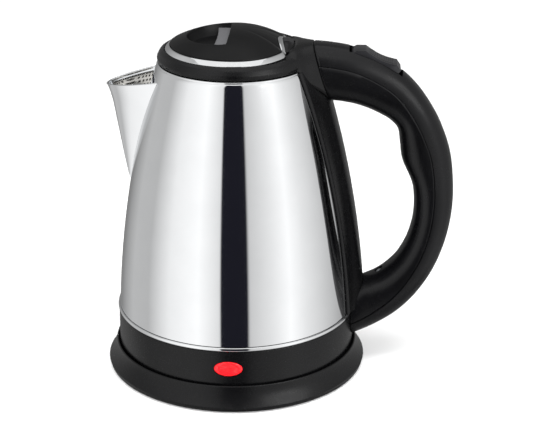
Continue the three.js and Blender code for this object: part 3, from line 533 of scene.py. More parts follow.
def handle_half(name, towards_back):
    """Half of the hollow handle. Its outer edges along the seam are a little rounded."""
    # A tongue inside the cover's edge laps the shell's, so nothing shows through the seam.
    reach = TONGUE_REACH if towards_back else -TONGUE_REACH
    halfway = HANDLE_WALL / 2 + (-0.1 if towards_back else 0.1)
    rings = []
    for n in range(STATION_STEPS * (len(HANDLE_STATIONS) - 1) + 1):
        station = handle_station(n / STATION_STEPS)
        end_round = 0 if n else 0.5 if towards_back else 0.15
        skin, shy, chamfer = (0.15, 0.05, 0.3) if towards_back else (0, 0.75, 0.6)
        outside = half_section(station, towards_back, skin + end_round, shy)
        lip = half_section(station, towards_back, chamfer + end_round, 0)
        ledge = half_section(station, towards_back, halfway, 0)
        tongue = half_section(station, towards_back, halfway, reach)
        inside = reversed(half_section(station, towards_back, HANDLE_WALL, reach))
        rings.append([ledge[0], lip[0], *outside, lip[-1], ledge[-1], tongue[-1], *inside, tongue[0]])
    return loft(name, rings)


def bracket_block(clearance):
    corners = [
        (31, 211.7 + clearance, 33, 196 - clearance, 22 + clearance),
        (36, 211.6 + clearance, 42, 189 - clearance, 26 + clearance),
        (41.4, 211.5 + clearance, 50, 182 - clearance, 21.5 + clearance),
        (47.9 + clearance, 211.4 + clearance, 58.9 + clearance, 175.4 - clearance, CREST_HALF + clearance),
    ]
    rings = []
    for u in steps(24):
        back_x, back_z, grip_x, grip_z, half = (curve_through(column, u * 3) for column in zip(*corners))
        station = (Vector((back_x, back_z)), Vector((grip_x, grip_z)), half)
        rings.append([section_point(station, TURN * v, 0) for v in steps(72)[:-1]])
    return loft("bracket", rings)


def spine_block(name, clearance, inset):
    """The cover that hugs the steel, from the bright ring up to the bracket."""
    rings = []
    for u in steps(48):
        z = mix(TRIM_TOP + GAP, COLLAR_BOTTOM - 0.4, u)
        wide = mix(22.5, 26.5, u) + clearance - (8 if inset else 0)
        proud = mix(7.6, 5.4, u) + clearance - inset
        base = steel_radius(z) + GAP - (4 if inset else clearance)
        across = [mix(-wide, wide, v) for v in steps(80)]
        inner = [(math.sqrt(base * base - y * y), y, z) for y in across]
        outer = []
        for y in across:
            crown = 1 / (1 + abs(y / RIDGE_HALF) ** 6)
            edge = min(1, (wide - abs(y)) / 1.1)
            rounded = 1 if inset or clearance else 0.35 + 0.65 * math.sqrt(edge * (2 - edge))
            radius = steel_radius(z) + GAP + SPINE_SKIN * rounded + (proud - SPINE_SKIN) * crown
            outer.append((math.sqrt(radius * radius - y * y), y, z))
        rings.append(inner + outer[::-1])
    return loft(name, rings)


def lead_passage():
    outline = [(52, 172), (57.3, 172), (57.3, 179.2), (62, 179.2), (62, 201), (44, 201), (44, 193)]
    return side_plate("passage", outline, -6, 6)


def soft_least(a, b, blend):
    h = max(blend - abs(a - b), 0) / blend
    return min(a, b) - h * h * blend / 4


def lid_radius(angle, inset):
    """The lid's plan: round, narrowing towards the handle, hollow in front of the crest."""
    turned_by = abs(math.atan2(math.sin(angle), math.cos(angle)))
    narrowing = LID_NARROWING * max(0, 1 - turned_by / math.radians(80)) ** 1.5
    plain = LID_RADIUS - narrowing - inset
    if turned_by > math.radians(70):
        return plain
    corner = LID_CORNER * math.exp(-(((turned_by - math.radians(28)) / 0.2) ** 2))
    y = plain * math.sin(turned_by)
    chord = (REAR_CHORD + CHORD_HOLLOW * (y / 15) ** 2 - inset) / math.cos(turned_by)
    return soft_least(plain + corner, chord, 2.2)


def crest_lift(x, y):
    return CREST_RISE * (1 - (y / CREST_HALF) ** 2) if x > 20 and abs(y) < CREST_HALF else 0


LID_ANGLES = [TURN * i / 288 for i in range(288)]


def lid_lift(angle):
    edge = lid_radius(angle, 0)
    return crest_lift(edge * math.cos(angle), edge * math.sin(angle))


def dome(name, inset, depth, floor):
    rings = []
    for share in [1, *(0.98 - 0.96 * u for u in steps(22))]:
        ring = []
        for angle in LID_ANGLES:
            lift = lid_lift(angle)
            rim = LID_EDGE + lift + RING_RISE * (1 - lift / CREST_RISE)
            radius = lid_radius(angle, inset) * share
            height = rim + (LID_APEX - rim) * (1 - share ** 2.1) - depth
            ring.append((radius * math.cos(angle), radius * math.sin(angle), height))
        rings.append(ring)
    return loft(name, [[(x, y, floor) for x, y, _ in rings[0]], *rings])


# ---------- the power base ----------
def build_power_base():
    flare = []
    for u in steps(24):
        z = mix(3, RIM_TOP - 0.5, u)
        flare.append((RIM_RADIUS + (BASE_RADIUS - RIM_RADIUS) * (1 - u) ** 1.7, z))
    rim = fillet([
        (RIM_RADIUS - 0.3, RIM_TOP, 0.5), (DISH_RADIUS, RIM_TOP, 0.5), (DISH_RADIUS, DISH_FLOOR, 1.5),
        (26.5, DISH_FLOOR, 0.4), (26.5, DISH_FLOOR - 2, 0), (75.4, DISH_FLOOR - 2, 0.5), (76.6, 5, 0.5),
        (80.2, 2.6, 0), (80.2, 0, 0.3), (BASE_RADIUS - 0.5, 0, 0.6),
    ])
    shell = turned("shell", flare + rim, 256)
    stand_for(cut(shell, block(-4.8, 4.8, 74, 90, -1, 6)), "power_base_shell")

    plate = turned("plate", fillet([
        (0, 0, 0), (22, 0, 0.4), (24, 2, 0.6), (78, 2, 0.2), (78, 0.8, 0.2), (79.4, 0.8, 0.2),
        (79.4, 2.4, 0.2), (76, 3.4, 0.3), (0, 3.4, 0),
    ]))
    holes = [turned("hole", [(0, -1), (3.2, -1), (3.2, 5), (0, 5)], 48) for _ in range(3)]
    for hole, degrees in zip(holes, (30, 150, 270)):
        move(hole, Matrix.Rotation(math.radians(degrees), 4, "Z") @ shift(52, 0, 0))
    plate = cut(plate, *holes, block(-5.1, 5.1, 65.6, 90, -1, 6))
    stand_for(plate, "power_base_bottom")

    for n in range(1, 5):
        centre = middle(f"base_foot_{n}")
        foot = turned("foot", fillet([
            (0, -1, 0), (4.2, -1, 0.3), (4.5, -0.7, 0.2), (5.2, -0.7, 0.2), (6, -0.2, 0.3), (6, 1.7, 0.3),
            (0, 1.7, 0),
        ]), 64)
        stand_for(move(foot, shift(centre.x, centre.y, 0)), f"base_foot_{n}")
    gland = cut(block(-4.4, 4.4, 66, 84.6, 0.1, 5.7), *(
        block(-5, 5, y, y + 0.9, 5.1, 7) for y in (70, 72.4, 74.8, 77.2, 79.6)))
    gland = ease(cut(gland, block(-2.9, 2.9, 60, 90, 0.9, 5.2)), 0.3)
    stand_for(gland, "cord_gland")


def pan_head(radius, rise):
    """The outline of a screw's domed head, from its middle out to its edge."""
    quarter = [math.pi / 2 * u for u in steps(8)[1:]]
    return [(0, 0), *((radius * math.sin(a), rise * (1 - math.cos(a))) for a in quarter)]


def cut_cross(body, reach):
    """The cross recess in a screw's head."""
    cut(body, block(-reach, reach, -0.3, 0.3, -1, 0.8), block(-0.3, 0.3, -reach, reach, -1, 0.8))


def screw(node):
    """A screw whose head faces down: a pan head on a plain shank."""
    bottom, top = low(node), high(node)
    centre = (bottom + top) / 2
    head = (top.x - bottom.x) / 2
    length = top.z - bottom.z
    body = turned("screw", [
        *pan_head(head, 1.2), (head, 1.7), (1.5, 1.8), (1.5, length), (0, length),
    ], 48)
    cut_cross(body, 1.5)
    stand_for(move(body, shift(centre.x, centre.y, bottom.z)), node)


def build_socket():
    pillar = 12.6
    housing = fillet([
        (0, 3.8, 0), (26, 3.8, 0.3), (26, 5.4, 0.2), (25.2, 5.4, 0.2), (25.2, DISH_FLOOR + 0.8, 0.6),
        (23.6, DISH_FLOOR + 0.8, 0.3), (23.6, 7.6, 0.3), (pillar, 7.6, 0.5), (pillar, PILLAR_TOP, 1.4),
        (9, PILLAR_TOP, 0.4), (9, 10, 0.3), (6.6, 10, 0.3), (6.6, PILLAR_TOP, 0.5), (3.4, PILLAR_TOP, 0.5),
        (3.4, 9, 0.2), (0, 9, 0),
    ])
    stand_for(turned("pillar", housing, 128), "socket_pillar")
    ring = turned("ring", fillet([
        (13.2, 8, 0.2), (23.2, 8, 0.2), (23.2, 9.2, 0.6), (22.2, 9.5, 0.4), (14.2, 9.5, 0.4),
        (13.2, 9.2, 0.6),
    ]), 128)
    stand_for(ring, "socket_turning_ring")
    contact = turned("contact", fillet([
        (7.2, 10.4, 0.2), (8.4, 10.4, 0.2), (8.4, 20.6, 0.4), (7.2, 20.6, 0.4),
    ]), 96)
    stand_for(contact, "socket_ring_contact")
    post = turned("post", fillet([
        (0, 9.4, 0), (2.8, 9.4, 0.2), (2.8, 17, 0.6), (1.6, 18.6, 1), (0, 18.6, 0),
    ]), 64)
    stand_for(post, "socket_centre_contact")


# ---------- the kettle's foot ----------
def lens_outline(grow):
    wide, tall = LENS_HALF_WIDTH + grow, LENS_HALF_HEIGHT + grow
    return [(x * wide, LENS_HEIGHT + z * tall) for x, z in circle(0, 0, 1, 72)]


def lead_slot():
    """The slot at the back through which the switch's lead comes down from the spine."""
    return block(66, 80, -2.6, 2.6, 26, 50)


def build_foot():
    skirt = turned("skirt", fillet([
        (BAND_INNER, BAND_BOTTOM, 0.3), (BAND_RADIUS, BAND_BOTTOM, 0.9), (BAND_RADIUS, BAND_TOP, 0.6),
        (BAND_INNER - 1.6, BAND_TOP, 0), (BAND_INNER - 1.6, BAND_TOP - 1.8, 0.3),
        (BAND_INNER, BAND_TOP - 3.4, 0.3),
    ]), 256)
    lens_hole = side_plate("hole", lens_outline(0.3), -BAND_RADIUS - 3, -BAND_RADIUS + 10)
    stand_for(cut(skirt, lens_hole, lead_slot()), "base_skirt")

    trim = turned("trim", fillet([
        (BAND_INNER - 1, BAND_TOP + GAP, 0), (TRIM_RADIUS, BAND_TOP + GAP, 0.9), (TRIM_RADIUS, TRIM_TOP, 1.0),
        (BAND_INNER - 1, TRIM_TOP, 0),
    ]), 256)
    stand_for(cut(trim, lead_slot()), "bottom_trim_ring")

    cover = turned("cover", fillet([
        (CONNECTOR_RADIUS + GAP, BAND_BOTTOM + 0.6, 0.4), (BAND_INNER - GAP, BAND_BOTTOM + 0.6, 0.4),
        (BAND_INNER - GAP, BAND_BOTTOM + 2.6, 0.3), (CONNECTOR_RADIUS + GAP, BAND_BOTTOM + 2.6, 0.3),
    ]))
    for n in range(1, 4):
        centre = middle(f"bottom_screw_{n}")
        hole = turned("hole", [(0, 5), (3.1, 5), (3.1, 20), (0, 20)], 48)
        cut(cover, move(hole, shift(centre.x, centre.y, 0)))
    stand_for(cover, "bottom_cover")

    # The lens: an oval pad whose face bulges and is stepped once round its middle. Each pair is
    # how far out a ring of points lies, and how deep it is under the band's face.
    face = [(1, 0.1), (0.96, -0.35), (0.66, -0.62), (0.62, -0.42), (0.3, -0.5), (0.02, -0.52)]
    rings = [[(x, -BAND_RADIUS + 3.2, z) for x, z in lens_outline(0)]]
    for share, depth in face:
        ring = []
        for x, z in lens_outline(0):
            y = depth - math.sqrt(BAND_RADIUS ** 2 - (x * share) ** 2)
            ring.append((x * share, y, LENS_HEIGHT + (z - LENS_HEIGHT) * share))
        rings.append(ring)
    stand_for(loft("lens", rings), "indicator_lens", sharp=60)

    connector = turned("connector", fillet([
        (13.3, 10.2, 0.5), (CONNECTOR_RADIUS, 10.2, 0.6), (CONNECTOR_RADIUS, 24, 1), (18, 26.6, 1),
        (0, 26.6, 0), (0, 25.2, 0), (1.4, 25.2, 0), (1.4, 23.6, 0.2), (13.3, 23.6, 0.4),
    ]), 128)
    stand_for(connector, "kettle_connector")


# ---------- the steel body and the spout ----------
def spout_nose(z):
    u = (z - SPOUT_APEX) / (SPOUT_RIM - SPOUT_APEX)
    lean = mix(-steel_radius(SPOUT_APEX) - 0.6, -78, max(u, 0) ** 0.92)
    return lean - 3.4 * max(0, (u - 0.72) / 0.28) ** 2


def spout_point(z, t, inset=0.0):
    """A point of the spout's V at height z: t is 0 at the nose and 1 or -1 at the seam."""
    u = (z - SPOUT_APEX) / (SPOUT_RIM - SPOUT_APEX)
    half = max(0.12, SPOUT_HALF * u - inset)
    nose = min(spout_nose(z) + inset * 1.3, -steel_radius(z) + 6)
    back = -math.sqrt(steel_radius(z) ** 2 - half ** 2)
    s = abs(t)
    x = (1 - s) ** 2 * nose + 2 * s * (1 - s) * (nose + 0.8) + s * s * back
    y = 2 * s * (1 - s) * half * 0.6 + s * s * half
    return x, math.copysign(y, t), z


def rim_height(x):
    """The slanted plane of the spout's rim, from its root at the steel out to its tip."""
    root, tip = -50, -87.5
    return mix(SPOUT_RIM, SPOUT_TIP_Z - 0.9, (x - root) / (tip - root))


def column_top(t, inset):
    """How high the spout's sheet reaches at t, where it meets the rim's plane."""
    bottom, top = SPOUT_APEX + 5, SPOUT_RIM + 4
    for _ in range(30):
        z = (bottom + top) / 2
        if z < rim_height(spout_point(z, t, inset)[0]):
            bottom = z
        else:
            top = z
    return bottom


def build_spout():
    """The sheet as one closed loft: up the outside, over a rolled lip, and down the inside."""
    wall, lip = 1.0, 0.62
    rings = []
    for v in steps(96):
        t = mix(-1, 1, v)
        outer_top, inner_top = column_top(t, 0), column_top(t, wall)
        outside = [spout_point(mix(SPOUT_APEX + 0.4, outer_top, u), t) for u in steps(60)]
        inside = [spout_point(mix(SPOUT_APEX + 4, inner_top, u), t, wall) for u in steps(60)]
        a, b = Vector(outside[-1]), Vector(inside[-1])
        outwards = (a - b).normalized()
        roll = []
        for k in range(1, 8):
            angle = math.pi * k / 8
            along = outwards * (math.cos(angle) * (lip + 0.25) + 0.25)
            roll.append(tuple((a + b) / 2 + along + Vector((0, 0, math.sin(angle) * lip))))
        rings.append([*outside, *roll, *reversed(inside)])
    sheet = cut(loft("sheet", rings), steel_core(0.05))
    stand_for(sheet, "spout", sharp=50)


def build_filter():
    bottom, top = 141, 188
    heights = [mix(bottom, top, u) for u in steps(24)]
    inner = [(steel_radius(z) - STEEL_WALL - 0.9, z) for z in heights]
    outline = inner + [(r - 0.8, z) for r, z in reversed(inner)]
    window = block(-80, -30, -16, 16, bottom - 1, top + 1)
    sheet = combine(turned("sheet", outline, 256), "INTERSECT", [window])
    holes = []
    for row in range(15):
        z = 146.5 + row * 2.7
        widest = int(min(4.6, 1 + row * 0.36))
        for column in range(-widest, widest + 1):
            y = (column + (row % 2) / 2) * 2.9
            hole = turned("hole", [(0, -75), (0.85, -75), (0.85, -40), (0, -40)], 12)
            holes.append(move(hole, shift(0, y, z) @ Matrix.Rotation(math.pi / 2, 4, "Y")))
    stand_for(cut(sheet, join(holes[0], *holes[1:])), "spout_filter")


def build_body():
    wall = [mix(STEEL_BOTTOM, STEEL_TOP - 1.1, u) for u in steps(80)]
    edge = steel_radius(STEEL_TOP)
    bead = [(edge - 0.55 + 0.75 * math.cos(a), STEEL_TOP - 0.75 + 0.75 * math.sin(a))
            for a in (math.radians(d) for d in range(-20, 91, 11))]
    neck = NECK_OUTER + GAP
    outline = [
        *((steel_radius(z), z) for z in wall), *bead, (neck, STEEL_TOP), (neck, STEEL_TOP - STEEL_WALL),
        (edge - STEEL_WALL - 0.6, STEEL_TOP - STEEL_WALL),
        *((steel_radius(z) - STEEL_WALL, z) for z in reversed(wall[:-1])),
    ]
    low_z = SPOUT_APEX + 22
    mouth = [(-13.5, 186), (-12, 186.8), (12, 186.8), (13.5, 186), (3, low_z), (0, low_z - 2), (-3, low_z)]
    opening = loft("mouth", [[(x, y, z) for y, z in mouth] for x in (-84, -34)])
    stand_for(cut(turned("steel", outline, 288), opening), "body_shell", sharp=50)

    floor_radius = steel_radius(48) - STEEL_WALL - 2 * GAP
    floor = turned("floor", fillet([
        (0, 44, 0), (floor_radius - 2, 44, 0.4), (floor_radius - 1.4, 42.4, 0.3), (floor_radius, 42.4, 0.3),
        (floor_radius, 47, 0.4), (floor_radius - 1, 47, 0.4), (floor_radius - 2, 45.2, 0.8), (0, 45.2, 0),
    ]))
    stand_for(floor, "base_plate")


# ---------- the collar and the lid ----------
HINGE_AXIS = shift(HINGE_X, 0, HINGE_Z) @ Matrix.Rotation(math.pi / 2, 4, "X")


def crest_height(y):
    return LID_EDGE - 0.2 + crest_lift(REAR_CHORD, y)


def hinge_barrel(clearance, half):
    """The hinge's spindle, as thick as the crest is high at each point."""
    outline = []
    for u in steps(48):
        y = mix(-half, half, u)
        outline.append((max(crest_height(y) - HINGE_Z, 0.4) + clearance, y))
    return move(turned("spindle", [(0, -half), *outline, (0, half)], 128), HINGE_AXIS)


def hinge_room():
    return hinge_barrel(GAP, BARREL_HALF + GAP)


def crest_block():
    """The collar's crest, from the hinge back to the handle."""
    arches = []
    for x in (HINGE_X, CREST_BACK):
        arch = [(x, y, crest_height(y)) for y in (mix(-CREST_HALF, CREST_HALF, u) for u in steps(48))]
        arches.append([*arch, (x, CREST_HALF, CREST_FOOT), (x, -CREST_HALF, CREST_FOOT)])
    return loft("crest", arches)


def lid_space():
    outline = []
    for angle in LID_ANGLES:
        radius = lid_radius(angle, -GAP)
        outline.append((radius * math.cos(angle), radius * math.sin(angle)))
    return plan_plate("space", outline, LID_SEAT - GAP, ABOVE_LID)


def build_collar():
    ring = turned("collar", fillet([
        (NECK_INNER, NECK_BOTTOM, 0.5), (NECK_OUTER, NECK_BOTTOM, 0.5), (NECK_OUTER, COLLAR_BOTTOM, 0),
        (COLLAR_RADIUS - 0.4, COLLAR_BOTTOM, 0.6), (COLLAR_RADIUS + 0.3, 202, 1.6), (45.6, 205.6, 3.2),
        (43, 207.1, 0.8), (LID_RADIUS, 207, 0), (LID_RADIUS, LID_SEAT - GAP, 0),
        (NECK_INNER, LID_SEAT - GAP, 0.3),
    ]))
    under = COLLAR_RADIUS - 2
    below = turned("below", [(0, 150), (under, 150), (under, COLLAR_BOTTOM), (0, COLLAR_BOTTOM)])
    inside = turned("inside", [(0, 150), (NECK_INNER, 150), (NECK_INNER, 230), (0, 230)])
    bracket = cut(bracket_block(0), steel_core(GAP), below, inside)
    swing_room = side_plate(
        "swing", [(HINGE_X, HINGE_Z), (HINGE_X + 30, HINGE_Z + 16), (HINGE_X, 230)], -24, 24)
    collar = join(ring, bracket, crest_block())
    cut(collar, lid_space(), swing_room, cross_bar(HINGE_X, HINGE_Z, 2.1, 19.5))
    join(collar, hinge_barrel(0, BARREL_HALF))
    arm = ARM_HALF + GAP
    cut(collar, block(24, HINGE_X, -arm, arm, 198, 230), cross_bar(HINGE_X, HINGE_Z, 5.7, arm),
        cross_bar(HINGE_X, HINGE_Z, 1.8, 10), block(-39.8, -36, -6.4, 6.4, 199.6, 203.6), lead_passage())
    stand_for(soften(collar, 0.42, 4), "collar")

    gasket = turned("gasket", fillet([
        (41.6, 195.6, 0.8), (44.6, 195.6, 0.8), (44.6, 197.4, 0.8), (41.6, 197.4, 0.8),
    ]))
    stand_for(gasket, "collar_gasket")
    end = HINGE_PIN_HALF
    pin = turned("pin", fillet([(0, -end, 0), (1.5, -end, 0.4), (1.5, end, 0.4), (0, end, 0)]), 48)
    stand_for(move(pin, HINGE_AXIS), "lid_hinge_pin")


def curved_band(start, end, half, bottom, top):
    """A band across the lid, between two offsets from the latch's slightly curved rear face."""
    across = [mix(-half, half, u) for u in steps(40)]
    front = [(LATCH_BACK + start - GRIP_CURVE * y * y, y) for y in across]
    rear = [(LATCH_BACK + end - GRIP_CURVE * y * y, y) for y in reversed(across)]
    return plan_plate("band", front + rear, bottom, top)


def recess(grow):
    """The round bowl for two fingertips, and the room behind the latch's grip."""
    floor = RECESS_FLOOR - grow
    wall = []
    for u in steps(10):
        z = mix(floor, ABOVE_LID, u ** 2)
        slope = 3.2 * max(0, 1 - (z - floor) / 7) ** 1.6
        wall.append((RECESS_RADIUS + grow - slope, z))
    bowl = turned("bowl", [(0, floor), *wall, (0, ABOVE_LID)], 160)
    move(bowl, shift(RECESS_CENTRE, 0, 0))
    cut(bowl, curved_band(0.2 + grow, 60, 30, 190, 230))
    return join(bowl, curved_band(-1, LATCH_TRAVEL + 0.8 + grow, 21 + grow, floor, 214.2 + grow))


def build_lid():
    inset = RING_WIDTH + GAP
    arm = ARM_HALF + GAP
    cup = combine(recess(1.8), "INTERSECT", [dome("bound", inset, 0.01, 196)])
    shell = cut(dome("lid", inset, 0, LID_SEAT), dome("hollow", inset + 2, 2, 200))
    latch_way = block(LATCH_BACK - GRIP_DEPTH, LATCH_BACK + LATCH_TRAVEL + 0.3, -5.3, 5.3,
                      198, RECESS_FLOOR + 0.1)
    cut(join(shell, cup), recess(0), latch_way, hinge_room(), block(20, 34, -arm, arm, 200, 208.2))
    stand_for(soften(shell, 0.36, 4), "lid_outer")

    rings = []
    for angle in LID_ANGLES:
        outer, inner = lid_radius(angle, 0), lid_radius(angle, RING_WIDTH)
        lift = lid_lift(angle)
        rise = RING_RISE * (1 - lift / CREST_RISE)
        top = LID_EDGE + lift
        profile = fillet([
            (inner, LID_SEAT, 0), (outer - 0.3, LID_SEAT, 0.2), (outer, top - 0.1, 0.7),
            (inner, top + rise, 0.8),
        ])
        rings.append([(r * math.cos(angle), r * math.sin(angle), z) for r, z in profile])
    trim = cut(loft("trim", rings, closed=True), hinge_room(), block(20, 34, -arm, arm, 202, 210.2))
    stand_for(trim, "lid_trim_ring", sharp=50)

    tray = turned("tray", fillet([
        (0, 203, 0), (34, 203, 0.6), (34, 194.4, 0.4), (36.2, 194.4, 0.4), (36.8, 195, 0.3),
        (36.8, 196.8, 0.3), (36, 196.8, 0.2), (36, 200.2, 0.2), (37, 200.2, 0.3), (37, 203, 0.2),
        (38, 203.4, 0.4), (38, 205.6, 0.4), (0, 205.6, 0),
    ]))
    between_ears = block(24, 40, -ARM_HALF, ARM_HALF, 200, 216)
    knuckle = combine(hinge_barrel(0, BARREL_HALF), "INTERSECT", [between_ears])
    arm_outline = [(22, 204.6), (28, 203.6), (HINGE_X, 203.6), (HINGE_X, 207.8), (22, 207.4)]
    hinge_arm = join(side_plate("arm", arm_outline, -ARM_HALF, ARM_HALF), knuckle)
    cut(tray, hinge_room(), block(28.4, 60, -CREST_HALF - 1, CREST_HALF + 1, 202.4, 230))
    join(tray, hinge_arm)
    screw_holes = []
    for side in (-1, 1):
        hole = turned("hole", [(0, 190), (1.9, 190), (1.9, 212), (0, 212)], 32)
        screw_holes.append(move(hole, shift(4, side * 27, 0)))
    cut(tray, cross_bar(HINGE_X, HINGE_Z, 1.75, 10), block(-45, 6, -5.6, 5.6, 199.7, 203.3),
        block(LATCH_BACK - 9.3, LATCH_BACK + 4.2, -5.6, 5.6, 198, 212),
        block(LATCH_BACK + 2.2, LATCH_BACK + 20.2, -3.4, 3.4, 198.6, 204), *screw_holes)
    stand_for(ease(tray, 0.2, 2), "lid_inner")

    gasket = turned("gasket", fillet([
        (36.3, 197.1, 0.3), (37.2, 197.1, 0.4), (37.2, 199.9, 0.4), (36.3, 199.9, 0.3),
    ]))
    stand_for(gasket, "lid_gasket")

    grip = ease(curved_band(-GRIP_DEPTH, 0, GRIP_HALF, 208.9, 213.6), 0.6)
    post = block(LATCH_BACK - 7.4, LATCH_BACK - 0.6, -5, 5, 200.2, 209.2)
    bolt = block(low("lid_latch").x, LATCH_BACK, -5, 5, 200.2, 202.8)
    stand_for(join(grip, post, bolt), "lid_latch")


# ---------- the handle and the switch ----------
def handle_screw(node, place):
    body = turned("screw", [*pan_head(2.6, 1.1), (2.6, 1.7), (1.4, 1.7), (1.4, 9), (0, 9)], 48)
    cut_cross(body, 1.4)
    stand_for(move(body, place), node)


SCREW_PLACES = {
    "handle_screw_top": shift(66, 0, 175.2),
    "handle_screw_foot": shift(91.3, 0, 61.3) @ Matrix.Rotation(math.radians(156), 4, "Y"),
}


def screw_room(place):
    """The counterbore and the clearance hole round a handle screw."""
    head = turned("room", [(0, -2.4), (2.9, -2.4), (2.9, 2), (1.7, 2), (1.7, 9.3), (0, 9.3)], 48)
    return move(head, place)


def build_handle():
    slot_outline = [(69.9, 214), (70.2, 196), (99, 184), (103.4, 194.6), (104, 212)]
    slot = side_plate("slot", slot_outline, -SWITCH_HALF - 0.4, SWITCH_HALF + 0.4)
    outer = cut(handle_half("outer", True), body_envelope(GAP), spine_block("room", GAP, 0), slot,
                cross_bar(SWITCH_PIVOT_X, SWITCH_PIVOT_Z, 1.8, 11.2))
    stand_for(outer, "handle_outer_shell")
    inner = cut(handle_half("inner", False), body_envelope(GAP), spine_block("room", GAP, 0),
                *(screw_room(place) for place in SCREW_PLACES.values()))
    stand_for(inner, "handle_inner_cover")
    spine = cut(spine_block("spine", 0, 0), spine_block("hollow", 0, 2.2), bracket_block(GAP),
                lead_passage())
    stand_for(spine, "handle_spine")
    for node, place in SCREW_PLACES.items():
        handle_screw(node, place)


def pad_point(u):
    """A point of the hollow along the rocker's top, from its upper end to its lower one."""
    return mix(80, 99, u), mix(207.6, 198.9, u) - 1.5 * math.sin(u * math.pi)


def build_switch():
    pad = [pad_point(u) for u in steps(24)]
    profile = [
        (71.4, 205.8), (74.4, 207.6), *pad, (101.4, 195.4), (98.4, 192), (90, 193.6), (88, 192.8), (88, 188),
        (85.6, 188), (84.6, 195), (73, 201.6),
    ]
    rocker = side_plate("rocker", profile, -SWITCH_HALF, SWITCH_HALF)
    cut(rocker, cross_bar(SWITCH_PIVOT_X, SWITCH_PIVOT_Z, 1.3, 20))
    ease(rocker, 0.5)
    ribs = []
    for n in range(13):
        x, z = pad_point(0.14 + 0.72 * n / 12)
        ribs.append(side_plate("rib", circle(x, z - 0.12, 0.42, 12), -4.9, 4.9))
    stand_for(join(rocker, *ribs), "switch_rocker")


# ---------- what stays as the frame made it, with a finished material ----------
def finish_frame_nodes():
    for node, obj in frame["nodes"].items():
        obj.data.materials.clear()
        obj.data.materials.append(MATERIALS[SLOT_OF[node]])


# ---------- stage, light and camera ----------
CAMERA_PLACE = (0.0698, -0.9976, 0.4934)
CAMERA_PITCH = 21.58
CAMERA_YAW = 2.884
CAMERA_LENS = 114.76
FLOOR = low("base_foot_1").z
FLOOR_HALF = 4000
WORLD_STRENGTH = 0.85


def build_camera():
    data = bpy.data.cameras.new("camera")
    data.lens = CAMERA_LENS
    data.sensor_width = 36
    camera = bpy.data.objects.new("camera", data)
    camera.location = CAMERA_PLACE
    camera.rotation_euler = (math.radians(90 - CAMERA_PITCH), 0, math.radians(CAMERA_YAW))
    bpy.context.scene.collection.objects.link(camera)
    bpy.context.scene.camera = camera


def glow(name, strength):
    """An emission material, for the stage's reflectors only."""
    material = bpy.data.materials.new(name)
    material.use_nodes = True
    nodes, links = material.node_tree.nodes, material.node_tree.links
    nodes.clear()
    output = nodes.new("ShaderNodeOutputMaterial")
    emission = nodes.new("ShaderNodeEmission")
    emission.inputs["Strength"].default_value = strength
    links.new(emission.outputs["Emission"], output.inputs["Surface"])
    return material, nodes, links, emission


# The light tent's brightness round the kettle, by degrees from the front: a black flag stands
# in the middle, and softboxes on both sides fade to grey towards the back.
TENT_STOPS = [
    (-180, 0.2), (-150, 0.25), (-118, 0.52), (-92, 0.50), (-66, 0.92), (-36, 1.1), (-15.4, 0.80),
    (-14.0, 0.012), (10.6, 0.012), (12.0, 0.62), (34, 0.86), (52, 1.1), (70, 0.86), (96, 0.62),
    (130, 0.35), (180, 0.2),
]
TENT_RADIUS = 900
TENT_SIDES = 96
TENT_FOOT = -700
TENT_TOP = 1300


def flat_card(name, half, z):
    corners = [(-half, -half, z), (half, -half, z), (half, half, z), (-half, half, z)]
    return new_object(name, corners, [(0, 1, 2, 3)])


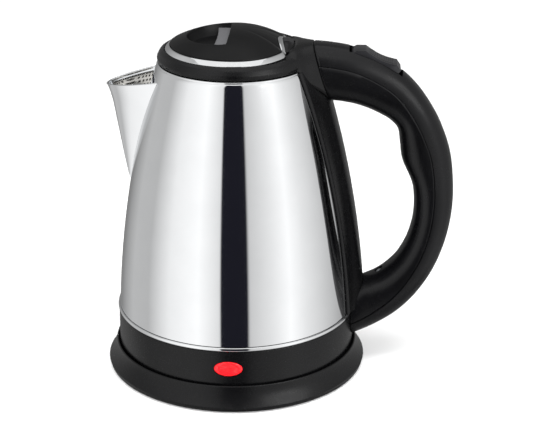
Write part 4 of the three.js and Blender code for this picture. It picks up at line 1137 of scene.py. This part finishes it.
def build_tent():
    """Reflectors that only polished surfaces see, as a photographer's tent would show in them."""
    points, faces = [], []
    for i in range(TENT_SIDES):
        angle = TURN * i / TENT_SIDES
        for z in (TENT_FOOT, TENT_TOP):
            points.append((TENT_RADIUS * math.cos(angle), TENT_RADIUS * math.sin(angle), z))
    for i in range(TENT_SIDES):
        j = (i + 1) % TENT_SIDES
        faces.append((2 * i, 2 * j, 2 * j + 1, 2 * i + 1))
    tent = new_object("tent", points, faces)
    material, nodes, links, emission = glow("tent", 1.0)
    place = nodes.new("ShaderNodeTexCoord")
    split = nodes.new("ShaderNodeSeparateXYZ")
    links.new(place.outputs["Object"], split.inputs["Vector"])
    flip = nodes.new("ShaderNodeMath")
    flip.operation = "MULTIPLY"
    flip.inputs[1].default_value = -1
    links.new(split.outputs["Y"], flip.inputs[0])
    angle = nodes.new("ShaderNodeMath")
    angle.operation = "ARCTAN2"
    links.new(split.outputs["X"], angle.inputs[0])
    links.new(flip.outputs[0], angle.inputs[1])
    spread = nodes.new("ShaderNodeMapRange")
    spread.inputs["From Min"].default_value = -math.pi
    spread.inputs["From Max"].default_value = math.pi
    links.new(angle.outputs[0], spread.inputs["Value"])
    ramp = nodes.new("ShaderNodeValToRGB")
    elements = ramp.color_ramp.elements
    while len(elements) > 1:
        elements.remove(elements[-1])
    front = math.degrees(math.atan2(CAMERA_PLACE[0], -CAMERA_PLACE[1]))
    for n, (degrees, value) in enumerate(TENT_STOPS):
        position = min(max((degrees + front + 180) / 360, 0), 1)
        element = elements[0] if n == 0 else elements.new(position)
        element.position = position
        blue = value * (1.5 if value < 0.1 else 1)
        element.color = (value, value, blue, 1)
    links.new(spread.outputs["Result"], ramp.inputs["Fac"])
    links.new(ramp.outputs["Color"], emission.inputs["Color"])
    tent.data.materials.append(material)
    cards = [tent]
    for name, z, strength in (("ceiling", TENT_TOP, 0.9), ("ground", TENT_FOOT, 0.4)):
        card = flat_card(name, TENT_RADIUS, z)
        card.data.materials.append(glow(name, strength)[0])
        cards.append(card)
    for card in cards:
        for ray in ("camera", "diffuse", "transmission", "volume_scatter", "shadow"):
            setattr(card, "visible_" + ray, False)


def softbox(name, place, size, power):
    data = bpy.data.lights.new(name, "AREA")
    data.shape = "RECTANGLE"
    data.size, data.size_y = size
    data.energy = power
    light = bpy.data.objects.new(name, data)
    light.location = place
    aim = Vector((0, 0, 0.1)) - Vector(place)
    light.rotation_euler = aim.to_track_quat("-Z", "Y").to_euler()
    light.visible_glossy = name != "fill"
    data.use_shadow = name == "overhead"
    bpy.context.scene.collection.objects.link(light)


def build_stage():
    floor = flat_card("floor", FLOOR_HALF, FLOOR)
    look = Look("floor", specular=0.1)
    look.tint(look.noise(3), (0.90, 0.90, 0.90), (0.92, 0.92, 0.92))
    look.roughen(look.noise(5), 0.8, 0.9)
    floor.data.materials.append(look.material)
    floor.visible_glossy = False

    world = bpy.data.worlds.new("studio")
    world.use_nodes = True
    background = world.node_tree.nodes["Background"]
    background.inputs["Color"].default_value = (1, 1, 1, 1)
    background.inputs["Strength"].default_value = WORLD_STRENGTH
    # The scene takes its world first: the next line needs the scene to have one.
    bpy.context.scene.world = world
    world.cycles_visibility.glossy = False

    softbox("overhead", (0.1, -0.5, 1.4), (1.2, 0.5), 16)
    softbox("side", (0.85, -0.75, 0.62), (0.4, 0.25), 7)
    softbox("fill", (-0.9, -1.0, 1.1), (0.9, 0.9), 7)
    bpy.context.scene.view_settings.view_transform = "Standard"


build_camera()
finish_frame_nodes()
build_power_base()
for kind in ("base_screw", "bottom_screw"):
    for number in (1, 2, 3):
        screw(f"{kind}_{number}")
build_socket()
build_foot()
build_body()
build_spout()
build_filter()
build_collar()
build_lid()
build_handle()
build_switch()
build_tent()
build_stage()
